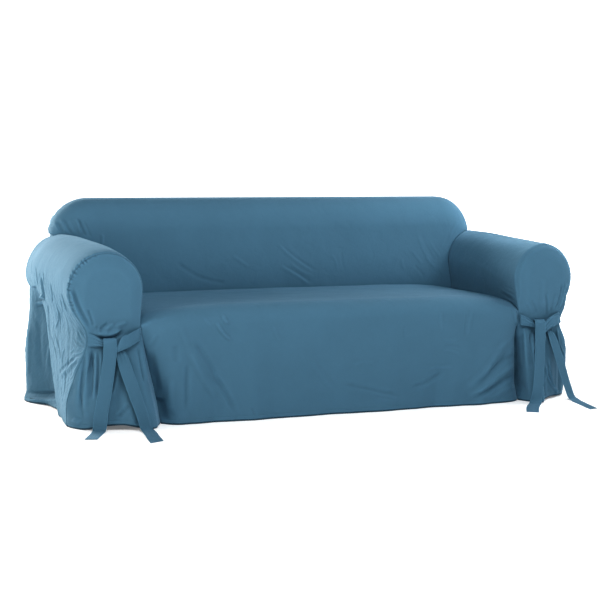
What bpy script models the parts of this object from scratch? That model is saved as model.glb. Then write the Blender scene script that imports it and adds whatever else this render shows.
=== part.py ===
"""Fitted slipcover for a three-seat sofa with rolled arms, as it hangs on the sofa.

Seven panels of cloth are sewn edge to edge into one hollow cover, open below. Four flat ties
are sewn into the front seams of the arms and knotted in front of each arm.

Metres, +Z up, +X to the right of someone facing the sofa, -Y towards them. Heights are above
the floor. "Depth" is measured from the plane of the arm fronts towards the rear.
"""

import math

import bpy
import numpy as np
from mathutils import Vector
from mathutils.geometry import delaunay_2d_cdt


def table(columns, *rows):
    """A short table: each named column as an array, one number for each row."""
    return dict(zip(columns.split(), np.array(rows, float).T))


# Driving sizes
FRONT_Y = -0.2530          # plane of the arm fronts
CLOTH = 0.0020             # thickness of the cloth
SEAM_GAP = 0.00036         # between two panels, along their shared seam
BACK_HEIGHT = 0.890
BACK_HALF_WIDTH = 1.030
BACK_CORNER = 0.172        # radius of the back's top corners
BACK_TOP_SEAM_DEPTH = 0.760
BACK_FACE_DEPTH = 0.585    # of the inside back, at the seat
BACK_LEAN = 0.050          # how much further back it is near the top
BACK_ROUNDING = 0.135      # from the inside back's face over to the top seam
REAR_DEPTH = 0.880
REAR_ROUNDING = 0.085      # from the top seam down to the rear face
EAR_RELEASE = 2.4          # how fast the rear face fills out below the back's ears
ARM_X = 1.004              # middle of the arm roll
ROLL_RADIUS = 0.146
ROLL_UNDER = {"left": math.radians(23.0), "right": math.radians(35.0)}   # past its widest point
REAR_FLAT = 0.075          # share by which the roll gets flatter at its rear end
REAR_SAG = 0.034           # how much lower the outer half's widest point is there
REAR_SLUMP = 0.80          # how much less full that half is there, above its widest point
REAR_TUCK = 1.50           # and below it
SEAT_X = 0.868             # the tuck between the seat and an arm
SEAT_HEIGHT = 0.487        # at the back of the seat
SEAT_FRONT_HEIGHT = 0.467
SEAT_FRONT_DEPTH = -0.027  # of the skirt, just below the seat's front edge
SEAT_EDGE_RADIUS = 0.070
SKIRT_FLARE = 0.020        # how much further forward the skirt's hem is
TIE_HEIGHT = 0.352         # middle of the tied band
TIE_THICKNESS = 0.0022

# The top of each arm, from its front backwards
ARM_TOP = {
    "left": table("depth height",
                  (0.00, 0.683),
                  (0.05, 0.697),
                  (0.14, 0.709),
                  (0.30, 0.722),
                  (0.45, 0.730),
                  (0.68, 0.738),
                  (0.90, 0.741)),
    "right": table("depth height",
                   (0.00, 0.684),
                   (0.12, 0.694),
                   (0.25, 0.703),
                   (0.42, 0.715),
                   (0.60, 0.727),
                   (0.75, 0.736),
                   (0.90, 0.741)),
}

# Half width of the roll's outer half
ROLL_OUTER = {
    "left": table("depth half",
                  (0.00, 0.154),
                  (0.30, 0.149),
                  (0.52, 0.144),
                  (0.80, 0.108),
                  (0.90, 0.090)),
    "right": table("depth half",
                   (0.00, 0.145),
                   (0.30, 0.146),
                   (0.56, 0.143),
                   (0.82, 0.108),
                   (0.90, 0.094)),
}

# The tuck between seat and arm, from the front backwards
SEAT_SIDE = table("depth height",
                  (0.000, 0.395),
                  (0.060, 0.424),
                  (0.200, 0.444),
                  (0.600, 0.455))

# Half width of an arm's hanging outer side, at four of these five shares of its height: the
# fifth is the end of the roll.
HANG_SHARES = np.array((0.0, 0.17, 0.42, 0.76, 1.0))
HANG = {
    "left": table("depth  hem    shin   middle  waist",
                  (0.00, 1.148, 1.155, 1.128, 1.096),
                  (0.10, 1.140, 1.146, 1.124, 1.104),
                  (0.20, 1.126, 1.129, 1.120, 1.108),
                  (0.34, 1.100, 1.106, 1.110, 1.108),
                  (0.60, 1.086, 1.092, 1.098, 1.098),
                  (0.89, 1.100, 1.102, 1.106, 1.086)),
    "right": table("depth  hem    shin   middle  waist",
                   (0.00, 1.160, 1.158, 1.146, 1.106),
                   (0.10, 1.168, 1.164, 1.148, 1.110),
                   (0.24, 1.138, 1.138, 1.130, 1.110),
                   (0.42, 1.108, 1.112, 1.114, 1.106),
                   (0.66, 1.094, 1.098, 1.100, 1.098),
                   (0.89, 1.104, 1.104, 1.104, 1.086)),
}
SIDE_FOLD = {  # a fold that slants back as it rises: depth at the floor, slope, dent, dent's far end
    "left": {"floor": 0.368, "slope": 0.42, "dent": 0.058, "far": 0.80},
    "right": {"floor": 0.455, "slope": 0.34, "dent": 0.042, "far": 0.82},
}
HEM_KICK = {"left": 0.020, "right": 0.012}   # how far the hem turns out behind that fold
HEM_KICK_HEIGHT = 0.055
PINCH = {"left": 0.012, "right": 0.020}      # how far the tie draws the outer side in
PINCH_HEIGHT = 0.335
PINCH_REACH = 0.075
PINCH_HALF = {"left": 0.13, "right": 0.08}   # how far up and down that reaches

# The inner front seam below the seat, as a groove between the skirt and the arm's front
GROOVE = {
    "left": table("height depth  x",
                  (0.000, 0.020, 0.782),
                  (0.090, 0.034, 0.794),
                  (0.200, 0.034, 0.818),
                  (0.330, 0.010, 0.853),
                  (0.395, 0.000, 0.868)),
    "right": table("height depth  x",
                   (0.000, 0.008, 0.872),
                   (0.100, 0.040, 0.871),
                   (0.250, 0.044, 0.870),
                   (0.340, 0.018, 0.869),
                   (0.395, 0.000, 0.868)),
}

# The outer front seam: how far behind the arm-front plane it runs
OUTER_SEAM = {
    "left": table("height depth",
                  (0.000, 0.094),
                  (0.080, 0.070),
                  (0.135, 0.050),
                  (0.185, 0.030),
                  (0.273, 0.005),
                  (0.340, 0.000)),
    "right": table("height depth",
                   (0.000, 0.095),
                   (0.180, 0.040),
                   (0.340, 0.004),
                   (0.400, 0.000)),
}

# The hem of an arm's front, from its inner end (0) to its outer end (1)
FRONT_HEM = {
    "left": table("share depth lift",
                  (0.00, 0.020, 0.000),
                  (0.06, -0.022, 0.000),
                  (0.14, -0.080, 0.000),
                  (0.24, -0.102, 0.002),
                  (0.36, -0.098, 0.010),
                  (0.52, -0.074, 0.019),
                  (0.70, -0.050, 0.016),
                  (0.88, -0.018, 0.002),
                  (0.94, 0.012, 0.000),
                  (1.00, 0.094, 0.000)),
    "right": table("share depth lift",
                   (0.00, 0.008, 0.000),
                   (0.08, -0.064, 0.000),
                   (0.20, -0.104, 0.000),
                   (0.34, -0.058, 0.004),
                   (0.56, -0.002, 0.008),
                   (0.82, 0.044, 0.003),
                   (1.00, 0.095, 0.000)),
}

# Pleats below the tie: share of the front's width at the tie and at the hem, half width, height
PLEATS = {
    "left": table("top   hem   half   height",
                  (0.14, 0.20, 0.045, 0.008),
                  (0.50, 0.52, 0.050, -0.010),
                  (0.86, 0.90, 0.030, -0.012),
                  (0.72, 0.74, 0.035, 0.012)),
    "right": table("top   hem   half   height",
                   (0.16, 0.18, 0.035, 0.018),
                   (0.34, 0.36, 0.025, -0.014),
                   (0.56, 0.58, 0.045, 0.010),
                   (0.80, 0.86, 0.032, -0.014)),
}

# Soft folds of the skirt: x at its top and at its hem, half width, height of the ridge at the hem
SKIRT_FOLDS = table("top    hem    half   height",
                    (-0.760, -0.745, 0.070, 0.014),
                    (-0.600, -0.570, 0.080, -0.010),
                    (-0.440, -0.400, 0.085, 0.010),
                    (-0.100, -0.060, 0.110, -0.008),
                    (0.250, 0.180, 0.110, 0.009),
                    (0.560, 0.420, 0.090, -0.012),
                    (0.780, 0.640, 0.080, 0.014))

# Long soft waves of the rear cloth: x, half width, height at the hem
REAR_FOLDS = table("x     half   height",
                   (-0.880, 0.110, 0.012),
                   (-0.560, 0.130, -0.010),
                   (-0.210, 0.120, 0.011),
                   (0.130, 0.120, -0.009),
                   (0.470, 0.130, 0.012),
                   (0.850, 0.110, -0.010))

# The ties. Each row is a point of the middle line: x (towards the outer side of the arm), depth,
# height, width of the strip, and the turn of its width: 0 stands up, 90 lies across. "swing"
# turns that width about the vertical, so that a tail can run forward over the floor askew.
TIES = {
    "tie_left_outer": table(
        "x       depth   height  width   turn   swing",
        (-1.084, -0.0070, 0.3500, 0.0500, 2.0, 0.0),
        (-1.060, -0.0150, 0.3460, 0.0420, 4.0, 0.0),
        (-1.036, -0.0210, 0.3375, 0.0260, 8.0, 0.0),
        (-1.012, -0.0230, 0.3300, 0.0200, 14.0, 0.0),
        (-0.988, -0.0225, 0.3260, 0.0190, 26.0, 0.0),
        (-0.965, -0.0205, 0.3140, 0.0240, 54.0, 0.0),
        (-0.954, -0.0260, 0.2840, 0.0420, 76.0, 0.0),
        (-0.945, -0.0440, 0.2400, 0.0520, 80.0, -4.0),
        (-0.924, -0.0820, 0.1500, 0.0540, 80.0, -10.0),
        (-0.900, -0.1120, 0.0600, 0.0540, 82.0, -16.0),
        (-0.892, -0.1240, 0.0200, 0.0560, 86.0, -20.0),
        (-0.888, -0.1420, 0.0040, 0.0600, 90.0, -22.0),
        (-0.896, -0.1980, 0.0012, 0.0640, 90.0, -24.0),
        (-0.914, -0.2800, 0.0012, 0.0660, 90.0, -25.0),
        (-0.936, -0.3880, 0.0012, 0.0680, 90.0, -26.0)),
    "tie_left_inner": table(
        "x       depth   height  width   turn   swing",
        (-0.871, -0.0070, 0.3640, 0.0510, 6.0, 0.0),
        (-0.902, -0.0240, 0.3530, 0.0540, 4.0, 0.0),
        (-0.932, -0.0345, 0.3410, 0.0540, 6.0, 0.0),
        (-0.957, -0.0370, 0.3330, 0.0580, 10.0, 0.0),
        (-0.975, -0.0345, 0.3190, 0.0500, 24.0, 0.0),
        (-0.991, -0.0250, 0.2990, 0.0300, 64.0, 0.0),
        (-1.001, -0.0140, 0.2900, 0.0250, 88.0, 0.0),
        (-1.004, -0.0105, 0.3040, 0.0280, 90.0, 0.0),
        (-1.004, -0.0110, 0.3270, 0.0340, 90.0, 0.0),
        (-1.004, -0.0150, 0.3470, 0.0420, 90.0, 0.0),
        (-1.004, -0.0260, 0.3550, 0.0480, 90.0, 0.0),
        (-1.004, -0.0380, 0.3430, 0.0540, 90.0, 0.0),
        (-1.005, -0.0405, 0.3050, 0.0540, 90.0, 0.0),
        (-1.014, -0.0450, 0.2400, 0.0540, 90.0, 4.0),
        (-1.032, -0.0560, 0.1500, 0.0540, 90.0, 10.0),
        (-1.052, -0.0660, 0.0600, 0.0540, 90.0, 18.0),
        (-1.058, -0.0700, 0.0200, 0.0540, 90.0, 22.0),
        (-1.066, -0.0840, 0.0040, 0.0520, 90.0, 24.0),
        (-1.090, -0.1300, 0.0012, 0.0500, 90.0, 24.0),
        (-1.144, -0.2360, 0.0012, 0.0490, 90.0, 24.0)),
    "tie_right_inner": table(
        "x       depth   height  width   turn   swing",
        (0.874, -0.0070, 0.3580, 0.0480, 178.0, 0.0),
        (0.904, -0.0160, 0.3490, 0.0390, 174.0, 0.0),
        (0.930, -0.0215, 0.3370, 0.0260, 170.0, 0.0),
        (0.952, -0.0230, 0.3310, 0.0205, 164.0, 0.0),
        (0.974, -0.0225, 0.3280, 0.0210, 150.0, 0.0),
        (0.998, -0.0215, 0.3200, 0.0270, 126.0, 0.0),
        (1.020, -0.0240, 0.3000, 0.0380, 112.0, 0.0),
        (1.035, -0.0300, 0.2580, 0.0500, 104.0, -4.0),
        (1.060, -0.0380, 0.1800, 0.0540, 102.0, -10.0),
        (1.085, -0.0480, 0.0900, 0.0540, 100.0, -16.0),
        (1.102, -0.0620, 0.0240, 0.0560, 96.0, -20.0),
        (1.104, -0.0840, 0.0050, 0.0580, 90.0, -22.0),
        (1.088, -0.1360, 0.0012, 0.0560, 90.0, -18.0),
        (1.060, -0.2300, 0.0012, 0.0500, 90.0, -14.0),
        (1.023, -0.3540, 0.0012, 0.0460, 90.0, -12.0)),
    "tie_right_outer": table(
        "x       depth   height  width   turn   swing",
        (1.078, -0.0090, 0.3600, 0.0480, 166.0, 0.0),
        (1.048, -0.0230, 0.3530, 0.0480, 162.0, 0.0),
        (1.016, -0.0345, 0.3440, 0.0440, 156.0, 0.0),
        (0.993, -0.0365, 0.3260, 0.0360, 142.0, 0.0),
        (0.975, -0.0300, 0.3050, 0.0270, 120.0, 0.0),
        (0.964, -0.0190, 0.2970, 0.0250, 100.0, 0.0),
        (0.958, -0.0120, 0.3050, 0.0260, 90.0, 0.0),
        (0.958, -0.0110, 0.3310, 0.0340, 90.0, 0.0),
        (0.958, -0.0150, 0.3490, 0.0420, 90.0, 0.0),
        (0.958, -0.0260, 0.3560, 0.0500, 90.0, 0.0),
        (0.958, -0.0380, 0.3440, 0.0540, 90.0, 0.0),
        (0.957, -0.0410, 0.3100, 0.0540, 90.0, 0.0),
        (0.946, -0.0570, 0.2400, 0.0540, 90.0, -4.0),
        (0.924, -0.0880, 0.1500, 0.0560, 90.0, -8.0),
        (0.898, -0.1160, 0.0600, 0.0580, 90.0, -6.0),
        (0.884, -0.1260, 0.0200, 0.0580, 90.0, 4.0),
        (0.866, -0.1440, 0.0040, 0.0560, 90.0, 18.0),
        (0.820, -0.2000, 0.0012, 0.0540, 90.0, 34.0),
        (0.737, -0.3260, 0.0012, 0.0525, 90.0, 40.0)),
}


def smooth(share):
    share = np.clip(share, 0.0, 1.0)
    return share * share * (3.0 - 2.0 * share)


def ridge(offset, half):
    """1 on a fold's line, falling softly to 0 at this half width."""
    return smooth(1.0 - np.abs(offset) / half)


def through(x, xs, ys):
    """Values at x on the smooth curve through the points (xs, ys), without overshoot."""
    x = np.clip(np.asarray(x, float), xs[0], xs[-1])
    steps = np.diff(ys) / np.diff(xs)
    slopes = np.concatenate([steps[:1], np.zeros(len(xs) - 2), steps[-1:]])
    product = steps[:-1] * steps[1:]
    middle = 2.0 * product / np.where(product > 0, steps[:-1] + steps[1:], 1.0)
    slopes[1:-1] = np.where(product > 0, middle, 0.0)
    i = np.clip(np.searchsorted(xs, x) - 1, 0, len(xs) - 2)
    gap = xs[i + 1] - xs[i]
    t = (x - xs[i]) / gap
    rise = t * t * (3.0 - 2.0 * t)
    bend = gap * t * (1.0 - t)
    return ys[i] + (ys[i + 1] - ys[i]) * rise + bend * (slopes[i] * (1.0 - t) - slopes[i + 1] * t)


def column(rows, name, key, x):
    """A table's named column, read smoothly at x along its key column."""
    return through(x, rows[key], rows[name])


# Arms

def hang_x(side, height, depth, top):
    """Half width of an arm's outer side at a height, where the roll ends at height top."""
    share = np.clip(height / top, 0.0, 1.0)
    names = ("hem", "shin", "middle", "waist")
    values = [float(column(HANG[side], name, "depth", depth)) for name in names]
    values.append(roll_outer_x(side, math.pi + ROLL_UNDER[side], depth))
    x = through(share, HANG_SHARES, np.array(values))
    fold = SIDE_FOLD[side]
    behind = depth - (fold["floor"] + fold["slope"] * height)
    back_again = 1.0 - smooth((depth - fold["far"] + 0.14) / 0.20)
    low = 1.0 - smooth((height - 0.42) / 0.16)
    x = x - fold["dent"] * smooth(behind / 0.045) * back_again * low
    kick = np.clip(1.0 - height / HEM_KICK_HEIGHT, 0.0, 1.0)
    x = x + HEM_KICK[side] * kick * smooth(behind / 0.04) * back_again
    drawn = ridge(height - PINCH_HEIGHT, PINCH_HALF[side]) * np.exp(-depth / PINCH_REACH)
    return x - PINCH[side] * drawn


def towards_rear(depth):
    return smooth((depth - 0.50) / 0.34)


def roll_outer_x(side, angle, depth):
    """Half width on the roll's outer half, at an angle from the roll's inner side over its top."""
    outer = float(column(ROLL_OUTER[side], "half", "depth", depth))
    fall = REAR_SLUMP if angle < math.pi else REAR_TUCK
    return ARM_X + outer * abs(math.cos(angle)) ** (1.0 + fall * towards_rear(depth))


def arm_section(side, stage, depth):
    """Half width and height on an arm's section. Stage 0 to 1 climbs the inner face, 1 to 2
    goes over the roll, and 2 to 3 hangs down the outer side."""
    tall = ROLL_RADIUS * (1.0 - REAR_FLAT * towards_rear(depth))
    sag = REAR_SAG * towards_rear(depth)
    centre = column(ARM_TOP[side], "height", "depth", depth) - ROLL_RADIUS
    if stage <= 1.0:
        low = column(SEAT_SIDE, "height", "depth", depth)
        x = SEAT_X + (ARM_X - ROLL_RADIUS - SEAT_X) * smooth(stage)
        return x, low + (centre - low) * stage
    if stage <= 2.0:
        angle = (stage - 1.0) * (math.pi + ROLL_UNDER[side])
        if angle < math.pi / 2.0:
            return ARM_X - ROLL_RADIUS * math.cos(angle), centre + tall * math.sin(angle)
        rise = tall + sag if angle < math.pi else tall
        return roll_outer_x(side, angle, depth), centre - sag + rise * math.sin(angle)
    top = centre - sag - tall * math.sin(ROLL_UNDER[side])
    height = top * (3.0 - stage)
    return hang_x(side, height, depth, top), height


def outline_gap(x, height):
    """How far inside the back's outline a point lies. The outline runs straight up to the
    rounded top corners."""
    corner_x = BACK_HALF_WIDTH - BACK_CORNER
    corner_z = BACK_HEIGHT - BACK_CORNER
    over = np.abs(x) - corner_x
    above = height - corner_z
    round_gap = BACK_CORNER - np.hypot(np.maximum(over, 0.0), np.maximum(above, 0.0))
    straight = np.minimum(BACK_CORNER - over, BACK_CORNER - above)
    return np.maximum(np.where((over > 0) & (above > 0), round_gap, straight), 0.0)


def inside_back_depth(x, height):
    face = BACK_FACE_DEPTH + BACK_LEAN * smooth((height - 0.47) / 0.38)
    gap = np.clip(outline_gap(x, height) / BACK_ROUNDING, 0.0, 1.0)
    return BACK_TOP_SEAM_DEPTH - (BACK_TOP_SEAM_DEPTH - face) * np.sqrt(1.0 - (1.0 - gap) ** 2)


def outside_back_depth(x, height):
    corner_z = BACK_HEIGHT - BACK_CORNER
    below_ear = np.maximum(corner_z - height, 0.0)
    side_gap = BACK_HALF_WIDTH - np.abs(x) + EAR_RELEASE * below_ear
    gap = np.where(height > corner_z, outline_gap(x, height),
                   np.minimum(side_gap, BACK_HEIGHT - height))
    gap = np.clip(gap / REAR_ROUNDING, 0.0, 1.0)
    depth = BACK_TOP_SEAM_DEPTH + (REAR_DEPTH - BACK_TOP_SEAM_DEPTH) * np.sqrt(1.0 - (1.0 - gap) ** 2)
    low = 1.0 - smooth(height / 0.75)
    depth = depth + 0.010 * low
    for middle, half, rise in zip(REAR_FOLDS["x"], REAR_FOLDS["half"], REAR_FOLDS["height"]):
        depth = depth + rise * low * ridge(x - middle, half)
    return depth


EAR_ANGLE = math.radians(102.0)
REAR_CORNER = table("share depth",
                    (0.00, 0.760),
                    (0.06, 0.838),
                    (0.12, 0.866),
                    (0.24, 0.872),
                    (1.00, 0.886))


def ear_stage(side):
    """Where on an arm's section the inside back, the outside back and the arm meet."""
    return 1.0 + EAR_ANGLE / (math.pi + ROLL_UNDER[side])


def arm_rear_depth(side, stage):
    """Depth of an arm's rear seam: on the inside back up to the ear, then at the rear corner."""
    ear = ear_stage(side)
    if stage > ear:
        return float(column(REAR_CORNER, "depth", "share", (stage - ear) / (3.0 - ear)))
    depth = BACK_FACE_DEPTH
    for _ in range(12):
        x, height = arm_section(side, stage, depth)
        depth = float(inside_back_depth(x, height))
    return depth


def arm_front_depth_at_seam(side, stage):
    if stage <= 1.9:
        return 0.0
    _, height = arm_section(side, stage, 0.0)
    return float(column(OUTER_SEAM[side], "depth", "height", height))


def arm_point(side, stage, along):
    """A point of an arm's panel, from its front seam (along 0) to its rear seam (1)."""
    front = arm_front_depth_at_seam(side, stage)
    rear = arm_rear_depth(side, stage)
    if stage > 1.7:
        _, height = arm_section(side, stage, 0.5)
        fold = SIDE_FOLD[side]["floor"] + SIDE_FOLD[side]["slope"] * min(height, 0.5)
        middle = fold + 0.02
    else:
        middle = front + (rear - front) * FOLD_ALONG
    depth = float(np.interp(along, (0.0, FOLD_ALONG, 1.0), (front, middle, rear)))
    x, height = arm_section(side, stage, depth)
    return SIGN[side] * float(x), depth, float(height)


SIGN = {"left": -1.0, "right": 1.0}
FOLD_ALONG = 0.60
EAR_ROW = 9
STAGES = {side: np.concatenate([np.linspace(0.0, 1.0, 4)[:-1],
                                np.linspace(1.0, ear_stage(side), 7)[:-1],
                                np.linspace(ear_stage(side), 2.0, 7)[:-1],
                                2.0 + np.array([0.0, 0.14, 0.28, 0.42, 0.56, 0.70, 0.80, 0.89, 1.0])])
          for side in ("left", "right")}
ALONG = np.array([0.0, 0.03, 0.08, 0.15, 0.25, 0.36, 0.48, 0.57, 0.63, 0.70, 0.80, 0.90, 1.0])
ACROSS_HALF = np.array([0.0, 0.11, 0.22, 0.33, 0.44, 0.54, 0.64, 0.73, 0.81, 0.88, 0.93, 0.97, 1.0])
ACROSS = np.concatenate([-ACROSS_HALF[:0:-1], ACROSS_HALF])
SKIRT_HEIGHTS = np.array([1.0, 0.93, 0.84, 0.72, 0.58, 0.43, 0.28, 0.13, 0.0])


# Seat and skirt

def seat_side_point(side, along):
    return arm_point(side, 0.0, along)


def groove_point(side, share):
    """The inner front seam below the seat, from the seat (1) to the hem (0)."""
    height = GROOVE[side]["height"][-1] * share
    x = float(column(GROOVE[side], "x", "height", height))
    return SIGN[side] * x, float(column(GROOVE[side], "depth", "height", height)), height


def skirt_folds(x, height):
    low = 1.0 - smooth(height / 0.36)
    move = 0.0
    for top, hem, half, rise in zip(*(SKIRT_FOLDS[k] for k in ("top", "hem", "half", "height"))):
        line = hem + (top - hem) * height / SEAT_FRONT_HEIGHT
        move = move + rise * low * ridge(x - line, half)
    return move


def seat_middle(row):
    """Depth and height along the middle of the seat. Row 0 to 1 is the seat from back to front,
    and row 1 to 2 the skirt down to its hem."""
    radius = SEAT_EDGE_RADIUS
    shoulder = radius * (1.0 - math.sqrt(0.5))
    if row <= 1.0:
        reach = shoulder + (1.0 - row) * (BACK_FACE_DEPTH - SEAT_FRONT_DEPTH - shoulder)
        slope = (SEAT_HEIGHT - SEAT_FRONT_HEIGHT) * (1.0 - row)
        tuck = 0.012 * (1.0 - smooth(row / 0.06))
        drop = radius - math.sqrt(max(radius ** 2 - max(radius - reach, 0.0) ** 2, 0.0))
        return SEAT_FRONT_DEPTH + reach, SEAT_FRONT_HEIGHT + slope - tuck - drop
    top = SEAT_FRONT_HEIGHT - shoulder
    height = top * (2.0 - row)
    below = SEAT_FRONT_HEIGHT - height
    inset = radius - math.sqrt(max(radius ** 2 - max(radius - below, 0.0) ** 2, 0.0))
    return SEAT_FRONT_DEPTH + inset - SKIRT_FLARE * (row - 1.0), height


def seat_point(across, row):
    """A point of the seat's cloth, which also hangs down in front as the skirt."""
    side = "right" if across > 0 else "left"
    if row <= 1.0:
        edge = seat_side_point(side, 1.0 - row)
        sink = abs(across) ** 7
        draw = abs(across) ** 14
    else:
        edge = groove_point(side, 2.0 - row)
        sink = abs(across) ** 7
        draw = abs(across) ** 22
    depth, height = seat_middle(row)
    x = across * abs(edge[0])
    depth = depth - float(skirt_folds(x, height)) * (1.0 - draw) * (row > 1.0)
    return x, depth + (edge[1] - depth) * draw, height + (edge[2] - height) * sink


def seat_rows():
    deck = [1.0 - along for along in ALONG[::-1]]
    skirt = [2.0 - share for share in SKIRT_HEIGHTS[1:]]
    return deck + skirt


# Fronts of the arms

def front_edges(side, height):
    """Half widths of the arm front's inner and outer edge at a height below the roll."""
    inner = column(GROOVE[side], "x", "height", height)
    roll_end = float(arm_section(side, 2.0, 0.0)[1])
    return inner, hang_x(side, min(height, roll_end), 0.0, roll_end)


def arm_front_depth(side, x, height):
    """How the front of an arm bulges above the tie, and flares in pleats below it."""
    inner, outer = front_edges(side, height)
    share = np.clip((np.abs(x) - inner) / (outer - inner), 0.0, 1.0)
    above = smooth((height - TIE_HEIGHT - 0.028) / 0.06)
    below = smooth((TIE_HEIGHT - 0.01 - height) / 0.34)
    flare = column(FRONT_HEM[side], "depth", "share", share) * below
    rows = PLEATS[side]
    for top, hem, half, rise in zip(*(rows[k] for k in ("top", "hem", "half", "height"))):
        line = hem + (top - hem) * height / TIE_HEIGHT
        strength = smooth((TIE_HEIGHT - 0.015 - height) / 0.10)
        flare = flare - rise * strength * ridge((share - line) * (outer - inner), half)
    roll = ARM_TOP[side]["height"][0] - ROLL_RADIUS
    rim = ROLL_RADIUS - np.hypot(np.abs(x) - ARM_X, np.maximum(height - roll, 0.0))
    bulge = 0.013 * smooth(np.clip(rim, 0.0, None) / 0.06)
    return flare - bulge * above - 0.004 * (1.0 - above) * (1.0 - below)


# Cloth shells

def inside(outline, x, z):
    """Whether a point is inside a closed outline."""
    odd = False
    for (x0, z0), (x1, z1) in zip(outline, np.roll(outline, -1, axis=0)):
        if (z0 > z) != (z1 > z) and x < x0 + (z - z0) * (x1 - x0) / (z1 - z0):
            odd = not odd
    return odd


def edge_distance(outline, x, z):
    point = np.array((x, z))
    start = outline
    run = np.roll(outline, -1, axis=0) - start
    share = np.clip(((point - start) * run).sum(1) / (run * run).sum(1), 0.0, 1.0)
    return float(np.hypot(*(start + run * share[:, None] - point).T).min())


def filled(border, spacing, insets, depth_at):
    """A panel seen from the front or the rear: its border, rows of points set in from it, and
    a staggered lattice between them. Returns its points and triangles."""
    border = np.array(border)
    outline = border[:, [0, 2]]
    extra = []
    centre_turn = np.roll(outline, -1, axis=0) - np.roll(outline, 1, axis=0)
    inward = np.stack([-centre_turn[:, 1], centre_turn[:, 0]], axis=1)
    inward /= np.linalg.norm(inward, axis=1)[:, None]
    probe = outline[0] + inward[0] * 0.004
    if not inside(outline, *probe):
        inward = -inward
    for inset in insets:
        for place, direction in zip(outline, inward):
            point = place + direction * inset
            if inside(outline, *point) and edge_distance(outline, *point) > 0.85 * inset:
                extra.append(point)
    last = insets[-1] if insets else 0.0
    low, high = outline.min(0), outline.max(0)
    rows = int((high[1] - low[1]) / (spacing * 0.866)) + 1
    for r in range(rows + 1):
        z = low[1] + spacing * 0.866 * (r + 0.5)
        x = low[0] + spacing * (0.5 if r % 2 else 1.0)
        while x < high[0]:
            if inside(outline, x, z) and edge_distance(outline, x, z) > last + 0.5 * spacing:
                extra.append((x, z))
            x += spacing
    flat = [Vector(p) for p in list(outline) + extra]
    count = len(border)
    edges = [(i, (i + 1) % count) for i in range(count)]
    points, _, faces, _, _, _ = delaunay_2d_cdt(flat, edges, [], 1, 1e-7)
    made = []
    miss = border[:, 1] - np.array([float(depth_at(x, z)) for x, z in outline])
    for i, p in enumerate(points):
        if i < count:
            made.append(tuple(border[i]))
            continue
        away = np.hypot(*(outline - np.array(p)).T)
        weight = 1.0 / (away ** 2 + 1e-9)
        near = math.exp(-float(away.min()) / 0.035)
        depth = float(depth_at(p[0], p[1])) + near * float((weight * miss).sum() / weight.sum())
        made.append((p[0], depth, p[1]))
    return made, [tuple(f) for f in faces]


def grid(rows):
    """A panel given as rows of points."""
    wide = len(rows[0])
    points = [p for row in rows for p in row]
    faces = []
    for r in range(len(rows) - 1):
        for c in range(wide - 1):
            a = r * wide + c
            b, d, e = a + 1, a + 1 + wide, a + wide
            if math.dist(points[a], points[d]) < math.dist(points[b], points[e]):
                faces += [(a, b, d), (a, d, e)]
            else:
                faces += [(a, b, e), (b, d, e)]
    return points, faces


def faced(points, faces, core):
    """The faces, turned if need be, so that they look away from a point inside the cover."""
    points = np.array(points)
    total = 0.0
    for face in faces:
        corners = points[list(face)]
        normal = np.cross(corners[1] - corners[0], corners[2] - corners[0])
        total += float(normal @ (corners.mean(0) - core))
    return faces if total > 0 else [face[::-1] for face in faces]


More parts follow.
